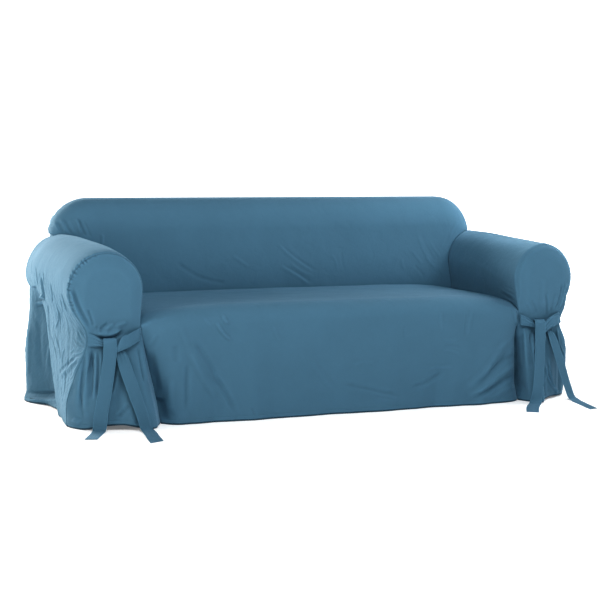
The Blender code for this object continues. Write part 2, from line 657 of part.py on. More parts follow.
class Cloth:
    """The whole sewn cloth: shared seam points, so that neighbouring panels meet exactly."""

    def __init__(self):
        self.points = []
        self.index = {}
        self.panels = {}

    def add(self, name, panel, core):
        points, faces = panel
        faces = faced(points, faces, np.array(core))
        places = []
        for p in points:
            key = tuple(round(c, 6) for c in p)
            if key not in self.index:
                self.index[key] = len(self.points)
                self.points.append(p)
            places.append(self.index[key])
        kept = []
        for face in faces:
            ring = tuple(dict.fromkeys(places[i] for i in face))
            if len(ring) > 2:
                kept.append(ring)
        self.panels[name] = kept

    def finish(self):
        """Works out at each point where the inner side of the cloth lies."""
        points = np.array(self.points)
        total = np.zeros_like(points)
        normals = []
        used = {}
        for faces in self.panels.values():
            for face in faces:
                corners = points[list(face)]
                normal = np.cross(corners[1] - corners[0], corners[2] - corners[0])
                unit = normal / np.linalg.norm(normal)
                normals.append((face, unit))
                for i, place in enumerate(face):
                    a = corners[i - 1] - corners[i]
                    b = corners[(i + 1) % 3] - corners[i]
                    cosine = a @ b / (np.linalg.norm(a) * np.linalg.norm(b))
                    total[place] += unit * math.acos(max(-1.0, min(1.0, float(cosine))))
                    edge = frozenset((place, face[(i + 1) % 3]))
                    used[edge] = used.get(edge, 0) + 1
        hem = sorted({p for edge, times in used.items() if times == 1 for p in edge})
        total[hem, 2] = 0.0
        total /= np.linalg.norm(total, axis=1)[:, None]
        agree = np.ones(len(points))
        for face, unit in normals:
            for place in face:
                agree[place] = min(agree[place], float(total[place] @ unit))
        self.normals = total
        self.outer = points
        self.inner = points - total * (CLOTH / np.clip(agree, 0.6, 1.0))[:, None]

    def shell(self, name):
        """A panel as a closed solid, its seam edges drawn in by half the gap."""
        faces = self.panels[name]
        others = {p for key, more in self.panels.items() if key != name for f in more for p in f}
        edges = {}
        for face in faces:
            for a, b in zip(face, face[1:] + face[:1]):
                edges[(a, b)] = face
        border = {a: b for (a, b) in edges if (b, a) not in edges}
        before = {b: a for a, b in border.items()}
        used = sorted({p for face in faces for p in face})
        place = {p: i for i, p in enumerate(used)}
        draw = np.zeros((len(used), 3))
        for p in border:
            if p not in others:
                continue
            pull = np.zeros(3)
            for face in faces:
                if p in face:
                    pull += self.outer[list(face)].mean(0) - self.outer[p]
            along = self.outer[border[p]] - self.outer[before[p]]
            along /= np.linalg.norm(along)
            pull -= along * (pull @ along)
            normal = self.normals[p]
            pull -= normal * (pull @ normal)
            draw[place[p]] = pull / np.linalg.norm(pull) * SEAM_GAP / 2.0
        count = len(used)
        vertices = np.concatenate([self.outer[used] + draw, self.inner[used] + draw])
        out = [tuple(place[p] for p in face) for face in faces]
        back = [tuple(place[p] + count for p in face[::-1]) for face in faces]
        rim = []
        for a, b in border.items():
            i, j, under_i, under_j = place[a], place[b], place[a] + count, place[b] + count
            if a < b:
                rim += [(i, under_i, under_j), (i, under_j, j)]
            else:
                rim += [(i, under_i, j), (under_i, under_j, j)]
        return vertices, out + back + rim


def cover_cloth():
    cloth = Cloth()
    rows = seat_rows()
    cloth.add("seat_front", grid([[seat_point(u, v) for u in ACROSS] for v in rows]),
              (0.0, 0.30, 0.20))
    tuck = [seat_point(u, 0.0) for u in ACROSS]
    rear_seam = {}
    for side in ("left", "right"):
        panel = [[arm_point(side, s, t) for t in ALONG] for s in STAGES[side]]
        cloth.add(f"arm_{side}", grid(panel), (SIGN[side] * ARM_X, 0.40, 0.40))
        rear_seam[side] = [row[-1] for row in panel]
        front_seam = [row[0] for row in panel]
        inner = [groove_point(side, s) for s in SKIRT_HEIGHTS[1:]][::-1]
        hem = []
        width = front_seam[-1][0] - inner[0][0]
        for share in np.linspace(1.0, 0.0, 13)[1:-1]:
            x = inner[0][0] + width * share
            hem.append((x, float(column(FRONT_HEM[side], "depth", "share", share)),
                        float(column(FRONT_HEM[side], "lift", "share", share))))
        border = inner + front_seam + hem
        cloth.add(f"arm_front_{side}",
                  filled(border, 0.040, (0.014, 0.036), lambda x, z, s=side: arm_front_depth(s, x, z)),
                  (SIGN[side] * ARM_X, 0.40, 0.30))
    left_inner, left_outer = rear_seam["left"][: EAR_ROW + 1], rear_seam["left"][EAR_ROW:]
    right_inner, right_outer = rear_seam["right"][: EAR_ROW + 1], rear_seam["right"][EAR_ROW:]
    top = back_outline(left_inner[-1], right_inner[-1])
    cloth.add("back_inside",
              filled(tuck + right_inner[1:] + top[::-1][1:-1] + left_inner[:0:-1],
                     0.085, (0.012, 0.035, 0.075, 0.125), inside_back_depth),
              (0.0, 0.80, 0.50))
    hem = []
    for share in np.linspace(0.0, 1.0, 25)[1:-1]:
        x = right_outer[-1][0] + (left_outer[-1][0] - right_outer[-1][0]) * share
        hem.append((x, float(outside_back_depth(x, 0.0)), 0.0))
    cloth.add("back_outside",
              filled(top + right_outer[1:] + hem + left_outer[:0:-1],
                     0.110, (0.010, 0.030, 0.065), outside_back_depth),
              (0.0, 0.60, 0.40))
    cloth.finish()
    return cloth


def back_outline(left_ear, right_ear):
    """The top rear seam, from the left ear over the top to the right ear."""
    points = [left_ear]
    corner_x = BACK_HALF_WIDTH - BACK_CORNER
    corner_z = BACK_HEIGHT - BACK_CORNER
    turns = np.linspace(0.08, 1.0, 7) * math.pi / 2.0
    left = [(-corner_x - BACK_CORNER * math.cos(a), corner_z + BACK_CORNER * math.sin(a)) for a in turns]
    middle = [(x, BACK_HEIGHT) for x in np.linspace(-corner_x, corner_x, 15)[1:-1]]
    right = [(-x, z) for x, z in left[::-1]]
    for x, z in left + middle + right:
        points.append((x, BACK_TOP_SEAM_DEPTH, z))
    return points + [right_ear]


# Ties

def strip(rows, stations):
    """A flat tie as a closed solid: corners of its section carried along its middle line."""
    key = np.concatenate([[0.0], np.cumsum(np.sqrt(
        np.diff(rows["x"]) ** 2 + np.diff(rows["depth"]) ** 2 + np.diff(rows["height"]) ** 2))])
    at = np.linspace(0.0, key[-1], stations)
    value = {name: through(at, key, rows[name]) for name in rows}
    middle = np.stack([value["x"], value["depth"], value["height"]], axis=1)
    along = np.gradient(middle, axis=0)
    turn, swing = np.radians(value["turn"]), np.radians(value["swing"])
    wide = np.stack([np.sin(turn) * np.cos(swing), -np.sin(turn) * np.sin(swing), np.cos(turn)], 1)
    normal = np.cross(along, wide)
    normal /= np.linalg.norm(normal, axis=1)[:, None]
    half = wide * value["width"][:, None] / 2.0
    thick = normal * TIE_THICKNESS / 2.0
    rings = np.stack([middle - half - thick, middle + half - thick,
                      middle + half + thick, middle - half + thick], axis=1)
    vertices = rings.reshape(-1, 3)
    faces = []
    for i in range(stations - 1):
        for k in range(4):
            a, b = i * 4 + k, i * 4 + (k + 1) % 4
            faces.append((a, b, b + 4, a + 4))
    last = (stations - 1) * 4
    faces += [(3, 2, 1, 0), (last, last + 1, last + 2, last + 3)]
    return vertices, faces


# Objects

def finish_for(name, colour):
    material = bpy.data.materials.new(name)
    material.use_nodes = True
    shader = material.node_tree.nodes["Principled BSDF"]
    shader.inputs["Base Color"].default_value = (*colour, 1.0)
    shader.inputs["Roughness"].default_value = 0.85
    shader.inputs["Metallic"].default_value = 0.0
    return material


def make(name, vertices, faces, colour):
    placed = [(x, FRONT_Y + depth, height) for x, depth, height in vertices]
    mesh = bpy.data.meshes.new(name)
    mesh.from_pydata(placed, [], faces)
    mesh.validate()
    volume = 0.0
    mesh.calc_loop_triangles()
    for tri in mesh.loop_triangles:
        a, b, c = (mesh.vertices[i].co for i in tri.vertices)
        volume += a.dot(b.cross(c))
    if volume < 0:
        mesh.flip_normals()
    mesh.shade_smooth()
    mesh.set_sharp_from_angle(angle=math.radians(50.0))
    mesh.materials.append(finish_for(f"cotton_{name}", colour))
    obj = bpy.data.objects.new(name, mesh)
    bpy.context.scene.collection.objects.link(obj)
    return obj


COTTON_BLUE = (0.105, 0.235, 0.360)
TIE_STATIONS = 40


def main():
    for obj in list(bpy.data.objects):
        bpy.data.objects.remove(obj, do_unlink=True)
    cloth = cover_cloth()
    for name in cloth.panels:
        make(name, *cloth.shell(name), COTTON_BLUE)
    for name, rows in TIES.items():
        make(name, *strip(rows, TIE_STATIONS), COTTON_BLUE)


main()
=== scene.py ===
"""A blue cotton slipcover on a three-seat sofa with rolled arms.

Each panel of the cover is a fine sheet of cloth on the shape of its solid, to which creases,
gathers and a turned hem are added. The four ties are flat tubes of the same cloth.

Metres, +Z up, +X to the right of someone facing the sofa. Heights are above the floor. "Depth"
is measured from the plane of the arm fronts towards the rear.
"""

import math

import bpy
import numpy as np
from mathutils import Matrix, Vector
from mathutils.geometry import delaunay_2d_cdt


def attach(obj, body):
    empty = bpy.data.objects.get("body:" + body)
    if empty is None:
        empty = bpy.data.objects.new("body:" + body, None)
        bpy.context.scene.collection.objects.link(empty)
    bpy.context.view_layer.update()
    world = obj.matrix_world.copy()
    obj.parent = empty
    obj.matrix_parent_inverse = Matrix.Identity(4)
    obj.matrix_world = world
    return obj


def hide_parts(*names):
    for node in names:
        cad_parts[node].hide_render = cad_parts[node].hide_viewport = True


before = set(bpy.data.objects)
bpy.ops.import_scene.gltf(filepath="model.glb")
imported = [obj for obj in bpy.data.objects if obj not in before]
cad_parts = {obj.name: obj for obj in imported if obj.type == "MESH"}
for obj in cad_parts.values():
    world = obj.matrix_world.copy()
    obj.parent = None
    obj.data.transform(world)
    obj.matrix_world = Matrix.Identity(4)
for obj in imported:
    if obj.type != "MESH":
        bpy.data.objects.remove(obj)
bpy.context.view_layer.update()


def table(text):
    """A short table: its first line names the columns, and each becomes an array."""
    heads, *rows = (line.split() for line in text.strip().splitlines())
    return dict(zip(heads, np.array(rows, float).T))


# Driving sizes
FRONT_Y = -0.2530          # plane of the arm fronts
BACK_HEIGHT = 0.890
BACK_HALF_WIDTH = 1.030
BACK_CORNER = 0.172        # radius of the back's top corners
BACK_TOP_SEAM_DEPTH = 0.760
BACK_FACE_DEPTH = 0.585    # of the inside back, at the seat
BACK_LEAN = 0.050          # how much further back it is near the top
BACK_ROUNDING = 0.135      # from the inside back's face over to the top seam
REAR_DEPTH = 0.880
REAR_ROUNDING = 0.085      # from the top seam down to the rear face
EAR_RELEASE = 2.4          # how fast the rear face fills out below the back's ears
ARM_X = 1.004              # middle of the arm roll
ROLL_RADIUS = 0.146
ROLL_UNDER = {"left": math.radians(23.0), "right": math.radians(35.0)}   # past its widest point
REAR_START = 0.50          # from this depth on, the roll's shape changes towards its rear end
REAR_RUN = 0.34
REAR_FLAT = 0.075          # share by which the roll gets flatter at its rear end
REAR_SAG = 0.034           # how much lower the outer half's widest point is there
REAR_SLUMP = 0.80          # how much less full that half is there, above its widest point
REAR_TUCK = 1.50           # and below it
SEAT_X = 0.868             # the tuck between the seat and an arm
SEAT_HEIGHT = 0.487        # at the back of the seat
SEAT_FRONT_HEIGHT = 0.467
SEAT_FRONT_DEPTH = -0.027  # of the skirt, just below the seat's front edge
SEAT_EDGE_RADIUS = 0.070
SKIRT_FLARE = 0.020        # how much further forward the skirt's hem is
TIE_HEIGHT = 0.352         # middle of the tied band
TIE_THICKNESS = 0.0022
TIE_PLEAT = 0.0016         # height of the pleats where a knot squeezes it
TIE_STITCH = 0.004         # from its long edges
FAR = 1e9                  # further than anything in the scene

# The top of each arm, from its front backwards
ARM_TOP = {
    "left": table("""
    depth height
        0  0.683
     0.05  0.697
     0.14  0.709
      0.3  0.722
     0.45   0.73
     0.68  0.738
      0.9  0.741"""),
    "right": table("""
    depth height
        0  0.684
     0.12  0.694
     0.25  0.703
     0.42  0.715
      0.6  0.727
     0.75  0.736
      0.9  0.741"""),
}

# Half width of the roll's outer half
ROLL_OUTER = {
    "left": table("""
    depth  half
        0 0.154
      0.3 0.149
     0.52 0.144
      0.8 0.108
      0.9  0.09"""),
    "right": table("""
    depth  half
        0 0.145
      0.3 0.146
     0.56 0.143
     0.82 0.108
      0.9 0.094"""),
}

# The tuck between seat and arm, from the front backwards
SEAT_SIDE = table("""
    depth height
        0  0.395
     0.06  0.424
      0.2  0.444
      0.6  0.455""")

# Half width of an arm's hanging outer side, at four of these five shares of its height: the
# fifth is the end of the roll.
HANG_SHARES = np.array((0.0, 0.17, 0.42, 0.76, 1.0))
HANG = {
    "left": table("""
    depth   hem  shin middle waist
        0 1.148 1.155  1.128 1.096
      0.1  1.14 1.146  1.124 1.104
      0.2 1.126 1.129   1.12 1.108
     0.34   1.1 1.106   1.11 1.108
      0.6 1.086 1.092  1.098 1.098
     0.89   1.1 1.102  1.106 1.086"""),
    "right": table("""
    depth   hem  shin middle waist
        0  1.16 1.158  1.146 1.106
      0.1 1.168 1.164  1.148  1.11
     0.24 1.138 1.138   1.13  1.11
     0.42 1.108 1.112  1.114 1.106
     0.66 1.094 1.098    1.1 1.098
     0.89 1.104 1.104  1.104 1.086"""),
}
SIDE_FOLD = {  # a fold that slants back as it rises: depth at the floor, slope, dent, dent's far end
    "left": {"floor": 0.368, "slope": 0.42, "dent": 0.058, "far": 0.80},
    "right": {"floor": 0.455, "slope": 0.34, "dent": 0.042, "far": 0.82},
}
HEM_KICK = {"left": 0.020, "right": 0.012}   # how far the hem turns out behind that fold
HEM_KICK_HEIGHT = 0.055
PINCH = {"left": 0.012, "right": 0.020}      # how far the tie draws the outer side in
PINCH_HEIGHT = 0.335
PINCH_REACH = 0.075
FOLD_SOFT = 0.045          # how far behind the fold its dent is at its deepest
KICK_SOFT = 0.040          # and the hem's turning out
FOLD_RETURN_START = 0.14   # how far before its far end the dent starts to end
FOLD_RETURN = 0.20         # and over how much depth it does
FOLD_TOP = 0.42            # height at which the dent starts to end
FOLD_TOP_RUN = 0.16
PINCH_HALF = {"left": 0.13, "right": 0.08}   # how far up and down that reaches

# The inner front seam below the seat, as a groove between the skirt and the arm's front
GROOVE = {
    "left": table("""
    height depth     x
         0  0.02 0.782
      0.09 0.034 0.794
       0.2 0.034 0.818
      0.33  0.01 0.853
     0.395     0 0.868"""),
    "right": table("""
    height depth     x
         0 0.008 0.872
       0.1  0.04 0.871
      0.25 0.044  0.87
      0.34 0.018 0.869
     0.395     0 0.868"""),
}

# The outer front seam: how far behind the arm-front plane it runs
OUTER_SEAM = {
    "left": table("""
    height depth
         0 0.094
      0.08  0.07
     0.135  0.05
     0.185  0.03
     0.273 0.005
      0.34     0"""),
    "right": table("""
    height depth
         0 0.095
      0.18  0.04
      0.34 0.004
       0.4     0"""),
}

# The hem of an arm's front, from its inner end (0) to its outer end (1)
FRONT_HEM = {
    "left": table("""
    share  depth  lift
        0   0.02     0
     0.06 -0.022     0
     0.14  -0.08     0
     0.24 -0.102 0.002
     0.36 -0.098  0.01
     0.52 -0.074 0.019
      0.7  -0.05 0.016
     0.88 -0.018 0.002
     0.94  0.012     0
        1  0.094     0"""),
    "right": table("""
    share  depth  lift
        0  0.008     0
     0.08 -0.064     0
      0.2 -0.104     0
     0.34 -0.058 0.004
     0.56 -0.002 0.008
     0.82  0.044 0.003
        1  0.095     0"""),
}

# Pleats below the tie: share of the front's width at the tie and at the hem, half width, height
PLEATS = {
    "left": table("""
     top  hem  half height
    0.14  0.2 0.045  0.008
     0.5 0.52  0.05  -0.01
    0.86  0.9  0.03 -0.012
    0.72 0.74 0.035  0.012"""),
    "right": table("""
     top  hem  half height
    0.16 0.18 0.035  0.018
    0.34 0.36 0.025 -0.014
    0.56 0.58 0.045   0.01
     0.8 0.86 0.032 -0.014"""),
}

# Soft folds of the skirt: x at its top and at its hem, half width, height of the ridge at the hem
SKIRT_FOLDS = table("""
      top    hem  half height
    -0.76 -0.745  0.07  0.014
     -0.6  -0.57  0.08  -0.01
    -0.44   -0.4 0.085   0.01
     -0.1  -0.06  0.11 -0.008
     0.25   0.18  0.11  0.009
     0.56   0.42  0.09 -0.012
     0.78   0.64  0.08  0.014""")

# Long soft waves of the rear cloth: x, half width, height at the hem
REAR_FOLDS = table("""
        x half height
    -0.88 0.11  0.012
    -0.56 0.13  -0.01
    -0.21 0.12  0.011
     0.13 0.12 -0.009
     0.47 0.13  0.012
     0.85 0.11  -0.01""")

# The ties. Each row is a point of the middle line: x, depth, height, width of the strip, and the
# turn of its width: 0 stands up, 90 lies across. "swing" turns that width about the vertical, so
# that a tail can run forward over the floor askew.
TIES = {
    "tie_left_outer": table("""
         x   depth height width turn swing
    -1.084  -0.007   0.35  0.05    2     0
     -1.06  -0.015  0.346 0.042    4     0
    -1.036  -0.021 0.3375 0.026    8     0
    -1.012  -0.023   0.33  0.02   14     0
    -0.988 -0.0225  0.326 0.019   26     0
    -0.965 -0.0205  0.314 0.024   54     0
    -0.954  -0.026  0.284 0.042   76     0
    -0.945  -0.044   0.24 0.052   80    -4
    -0.924  -0.082   0.15 0.054   80   -10
      -0.9  -0.112   0.06 0.054   82   -16
    -0.892  -0.124   0.02 0.056   86   -20
    -0.888  -0.142  0.004  0.06   90   -22
    -0.896  -0.198 0.0012 0.064   90   -24
    -0.914   -0.28 0.0012 0.066   90   -25
    -0.936  -0.388 0.0012 0.068   90   -26"""),
    "tie_left_inner": table("""
         x   depth height width turn swing
    -0.871  -0.007  0.364 0.051    6     0
    -0.902  -0.024  0.353 0.054    4     0
    -0.932 -0.0345  0.341 0.054    6     0
    -0.957  -0.037  0.333 0.058   10     0
    -0.975 -0.0345  0.319  0.05   24     0
    -0.991  -0.025  0.299  0.03   64     0
    -1.001  -0.014   0.29 0.025   88     0
    -1.004 -0.0105  0.304 0.028   90     0
    -1.004  -0.011  0.327 0.034   90     0
    -1.004  -0.015  0.347 0.042   90     0
    -1.004  -0.026  0.355 0.048   90     0
    -1.004  -0.038  0.343 0.054   90     0
    -1.005 -0.0405  0.305 0.054   90     0
    -1.014  -0.045   0.24 0.054   90     4
    -1.032  -0.056   0.15 0.054   90    10
    -1.052  -0.066   0.06 0.054   90    18
    -1.058   -0.07   0.02 0.054   90    22
    -1.066  -0.084  0.004 0.052   90    24
     -1.09   -0.13 0.0012  0.05   90    24
    -1.144  -0.236 0.0012 0.049   90    24"""),
    "tie_right_inner": table("""
        x   depth height  width turn swing
    0.874  -0.007  0.358  0.048  178     0
    0.904  -0.016  0.349  0.039  174     0
     0.93 -0.0215  0.337  0.026  170     0
    0.952  -0.023  0.331 0.0205  164     0
    0.974 -0.0225  0.328  0.021  150     0
    0.998 -0.0215   0.32  0.027  126     0
     1.02  -0.024    0.3  0.038  112     0
    1.035   -0.03  0.258   0.05  104    -4
     1.06  -0.038   0.18  0.054  102   -10
    1.085  -0.048   0.09  0.054  100   -16
    1.102  -0.062  0.024  0.056   96   -20
    1.104  -0.084  0.005  0.058   90   -22
    1.088  -0.136 0.0012  0.056   90   -18
     1.06   -0.23 0.0012   0.05   90   -14
    1.023  -0.354 0.0012  0.046   90   -12"""),
    "tie_right_outer": table("""
        x   depth height  width turn swing
    1.078  -0.009   0.36  0.048  166     0
    1.048  -0.023  0.353  0.048  162     0
    1.016 -0.0345  0.344  0.044  156     0
    0.993 -0.0365  0.326  0.036  142     0
    0.975   -0.03  0.305  0.027  120     0
    0.964  -0.019  0.297  0.025  100     0
    0.958  -0.012  0.305  0.026   90     0
    0.958  -0.011  0.331  0.034   90     0
    0.958  -0.015  0.349  0.042   90     0
    0.958  -0.026  0.356   0.05   90     0
    0.958  -0.038  0.344  0.054   90     0
    0.957  -0.041   0.31  0.054   90     0
    0.946  -0.057   0.24  0.054   90    -4
    0.924  -0.088   0.15  0.056   90    -8
    0.898  -0.116   0.06  0.058   90    -6
    0.884  -0.126   0.02  0.058   90     4
    0.866  -0.144  0.004  0.056   90    18
     0.82    -0.2 0.0012  0.054   90    34
    0.737  -0.326 0.0012 0.0525   90    40"""),
}
SIGN = {"left": -1.0, "right": 1.0}
EAR_ANGLE = math.radians(102.0)
REAR_WAVES_TOP = 0.75      # above this height the rear cloth hangs straight
REAR_FLARE = 0.010         # how much further back its hem is
SKIRT_WAVES_TOP = 0.36     # and the skirt above this one
SEAT_TUCK = 0.012          # how far the seat's rear edge is pushed down
FRONT_BULGE = 0.013        # of an arm's front, over the tie
BAND_DENT = 0.004          # behind the tie
REAR_CORNER = table("""
    share depth
        0  0.76
     0.06 0.838
     0.12 0.866
     0.24 0.872
        1 0.886""")


def smooth(share):
    share = np.clip(share, 0.0, 1.0)
    return share * share * (3.0 - 2.0 * share)


def ridge(offset, half):
    """1 on a fold's line, falling softly to 0 at this half width."""
    return smooth(1.0 - np.abs(offset) / half)


def between(share, knots, values):
    """Values at share on the smooth curve through values[k] at knots[k], without overshoot.
    Each of those values may itself be an array as long as share."""
    share = np.clip(share, knots[0], knots[-1])
    steps = np.diff(values, axis=0) / np.diff(knots)[:, None]
    product = steps[:-1] * steps[1:]
    total = np.where(product > 0, steps[:-1] + steps[1:], 1.0)
    inner = np.where(product > 0, 2.0 * product / total, 0.0)
    slopes = np.concatenate([steps[:1], inner, steps[-1:]])
    i = np.clip(np.searchsorted(knots, share) - 1, 0, len(knots) - 2)
    n = np.arange(share.size) if values.shape[1] > 1 else np.zeros(share.size, int)
    gap = knots[i + 1] - knots[i]
    t = (share - knots[i]) / gap
    rise = t * t * (3.0 - 2.0 * t)
    bend = gap * t * (1.0 - t)
    return (values[i, n] + (values[i + 1, n] - values[i, n]) * rise
            + bend * (slopes[i, n] * (1.0 - t) - slopes[i + 1, n] * t))


def column(rows, name, key, x):
    """A table's named column, read smoothly at x along its key column."""
    x = np.asarray(x, float)
    return between(x.ravel(), rows[key], rows[name][:, None]).reshape(x.shape)


# Arms

def towards_rear(depth):
    return smooth((depth - REAR_START) / REAR_RUN)


def roll_outer_x(side, angle, depth):
    """Half width on the roll's outer half, at an angle from the roll's inner side over its top."""
    outer = column(ROLL_OUTER[side], "half", "depth", depth)
    fall = np.where(angle < math.pi, REAR_SLUMP, REAR_TUCK)
    return ARM_X + outer * np.abs(np.cos(angle)) ** (1.0 + fall * towards_rear(depth))


def hang_x(side, height, depth, top):
    """Half width of an arm's outer side at a height, where the roll ends at height top."""
    share = np.clip(height / top, 0.0, 1.0)
    values = [column(HANG[side], name, "depth", depth) for name in ("hem", "shin", "middle", "waist")]
    values.append(roll_outer_x(side, math.pi + ROLL_UNDER[side], depth))
    x = between(share, HANG_SHARES, np.array(values))
    fold = SIDE_FOLD[side]
    behind = depth - (fold["floor"] + fold["slope"] * height)
    back_again = 1.0 - smooth((depth - fold["far"] + FOLD_RETURN_START) / FOLD_RETURN)
    low = 1.0 - smooth((height - FOLD_TOP) / FOLD_TOP_RUN)
    x = x - fold["dent"] * smooth(behind / FOLD_SOFT) * back_again * low
    kick = np.clip(1.0 - height / HEM_KICK_HEIGHT, 0.0, 1.0)
    x = x + HEM_KICK[side] * kick * smooth(behind / KICK_SOFT) * back_again
    drawn = ridge(height - PINCH_HEIGHT, PINCH_HALF[side]) * np.exp(-depth / PINCH_REACH)
    return x - PINCH[side] * drawn


def arm_section(side, stage, depth):
    """Half width and height on an arm's section. Stage 0 to 1 climbs the inner face, 1 to 2
    goes over the roll, and 2 to 3 hangs down the outer side."""
    tall = ROLL_RADIUS * (1.0 - REAR_FLAT * towards_rear(depth))
    sag = REAR_SAG * towards_rear(depth)
    centre = column(ARM_TOP[side], "height", "depth", depth) - ROLL_RADIUS
    low = column(SEAT_SIDE, "height", "depth", depth)
    climb = np.clip(stage, 0.0, 1.0)
    inner_x = SEAT_X + (ARM_X - ROLL_RADIUS - SEAT_X) * smooth(climb)
    angle = (np.clip(stage, 1.0, 2.0) - 1.0) * (math.pi + ROLL_UNDER[side])
    first = angle < math.pi / 2.0
    rise = np.where(~first & (angle < math.pi), tall + sag, tall)
    roll_x = np.where(first, ARM_X - ROLL_RADIUS * np.cos(angle), roll_outer_x(side, angle, depth))
    roll_z = centre - np.where(first, 0.0, sag) + rise * np.sin(angle)
    top = centre - sag - tall * math.sin(ROLL_UNDER[side])
    fall = top * (3.0 - np.clip(stage, 2.0, 3.0))
    x = np.where(stage <= 1.0, inner_x, np.where(stage <= 2.0, roll_x, hang_x(side, fall, depth, top)))
    z = np.where(stage <= 1.0, low + (centre - low) * climb, np.where(stage <= 2.0, roll_z, fall))
    return x, z


def outline_gap(x, height):
    """How far inside the back's outline a point lies. The outline runs straight up to the
    rounded top corners."""
    over = np.abs(x) - (BACK_HALF_WIDTH - BACK_CORNER)
    above = height - (BACK_HEIGHT - BACK_CORNER)
    round_gap = BACK_CORNER - np.hypot(np.maximum(over, 0.0), np.maximum(above, 0.0))
    straight = np.minimum(BACK_CORNER - over, BACK_CORNER - above)
    return np.maximum(np.where((over > 0) & (above > 0), round_gap, straight), 0.0)


def inside_back_depth(x, height):
    face = BACK_FACE_DEPTH + BACK_LEAN * smooth((height - 0.47) / 0.38)
    gap = np.clip(outline_gap(x, height) / BACK_ROUNDING, 0.0, 1.0)
    return BACK_TOP_SEAM_DEPTH - (BACK_TOP_SEAM_DEPTH - face) * np.sqrt(1.0 - (1.0 - gap) ** 2)


def outside_back_depth(x, height):
    corner_z = BACK_HEIGHT - BACK_CORNER
    side_gap = BACK_HALF_WIDTH - np.abs(x) + EAR_RELEASE * np.maximum(corner_z - height, 0.0)
    gap = np.where(height > corner_z, outline_gap(x, height),
                   np.minimum(side_gap, BACK_HEIGHT - height))
    gap = np.clip(gap / REAR_ROUNDING, 0.0, 1.0)
    depth = BACK_TOP_SEAM_DEPTH + (REAR_DEPTH - BACK_TOP_SEAM_DEPTH) * np.sqrt(1.0 - (1.0 - gap) ** 2)
    low = 1.0 - smooth(height / REAR_WAVES_TOP)
    depth = depth + REAR_FLARE * low
    for middle, half, rise in zip(*REAR_FOLDS.values()):
        depth = depth + rise * low * ridge(x - middle, half)
    return depth


def ear_stage(side):
    """Where on an arm's section the inside back, the outside back and the arm meet."""
    return 1.0 + EAR_ANGLE / (math.pi + ROLL_UNDER[side])


def arm_front_edge(side, stage):
    """Depth of an arm's front seam."""
    _, height = arm_section(side, stage, np.zeros_like(stage))
    return np.where(stage > 1.9, column(OUTER_SEAM[side], "depth", "height", height), 0.0)


def arm_rear_edge(side, stage):
    """Depth of an arm's rear seam: on the inside back up to the ear, then at the rear corner."""
    depth = np.full_like(stage, BACK_FACE_DEPTH)
    for _ in range(12):
        depth = inside_back_depth(*arm_section(side, stage, depth))
    ear = ear_stage(side)
    corner = column(REAR_CORNER, "depth", "share", (stage - ear) / (3.0 - ear))
    return np.where(stage > ear, corner, depth)


def arm_cloth(side, stage, along):
    """Points of an arm's cloth: along is 0 at the front seam and 1 at the rear one."""
    front, rear = arm_front_edge(side, stage), arm_rear_edge(side, stage)
    depth = front[:, None] + (rear - front)[:, None] * along[None, :]
    rows = np.broadcast_to(stage[:, None], depth.shape)
    x, z = arm_section(side, rows.ravel(), depth.ravel())
    return np.stack([SIGN[side] * x, depth.ravel(), z], axis=1).reshape(*depth.shape, 3)


# Seat and skirt

def groove(side, share):
    """The inner front seam below the seat, from the seat (1) to the hem (0)."""
    height = GROOVE[side]["height"][-1] * share
    return (column(GROOVE[side], "x", "height", height),
            column(GROOVE[side], "depth", "height", height), height)


def skirt_folds(x, height):
    low = 1.0 - smooth(height / SKIRT_WAVES_TOP)
    move = np.zeros_like(x)
    for top, hem, half, rise in zip(*SKIRT_FOLDS.values()):
        move = move + rise * low * ridge(x - (hem + (top - hem) * height / SEAT_FRONT_HEIGHT), half)
    return move


def seat_middle(row):
    """Depth and height along the middle of the seat. Row 0 to 1 is the seat from back to front,
    and row 1 to 2 the skirt down to its hem."""
    radius = SEAT_EDGE_RADIUS
    shoulder = radius * (1.0 - math.sqrt(0.5))
    back = np.clip(1.0 - row, 0.0, 1.0)
    reach = shoulder + back * (BACK_FACE_DEPTH - SEAT_FRONT_DEPTH - shoulder)
    drop = radius - np.sqrt(radius ** 2 - np.clip(radius - reach, 0.0, radius) ** 2)
    tuck = SEAT_TUCK * (1.0 - smooth(np.clip(row, 0.0, 1.0) / 0.06))
    seat_z = SEAT_FRONT_HEIGHT + (SEAT_HEIGHT - SEAT_FRONT_HEIGHT) * back - tuck - drop
    height = (SEAT_FRONT_HEIGHT - shoulder) * (2.0 - np.clip(row, 1.0, 2.0))
    below = SEAT_FRONT_HEIGHT - height
    inset = radius - np.sqrt(radius ** 2 - np.clip(radius - below, 0.0, radius) ** 2)
    skirt = SEAT_FRONT_DEPTH + inset - SKIRT_FLARE * (row - 1.0)
    return (np.where(row <= 1.0, SEAT_FRONT_DEPTH + reach, skirt), np.where(row <= 1.0, seat_z, height))


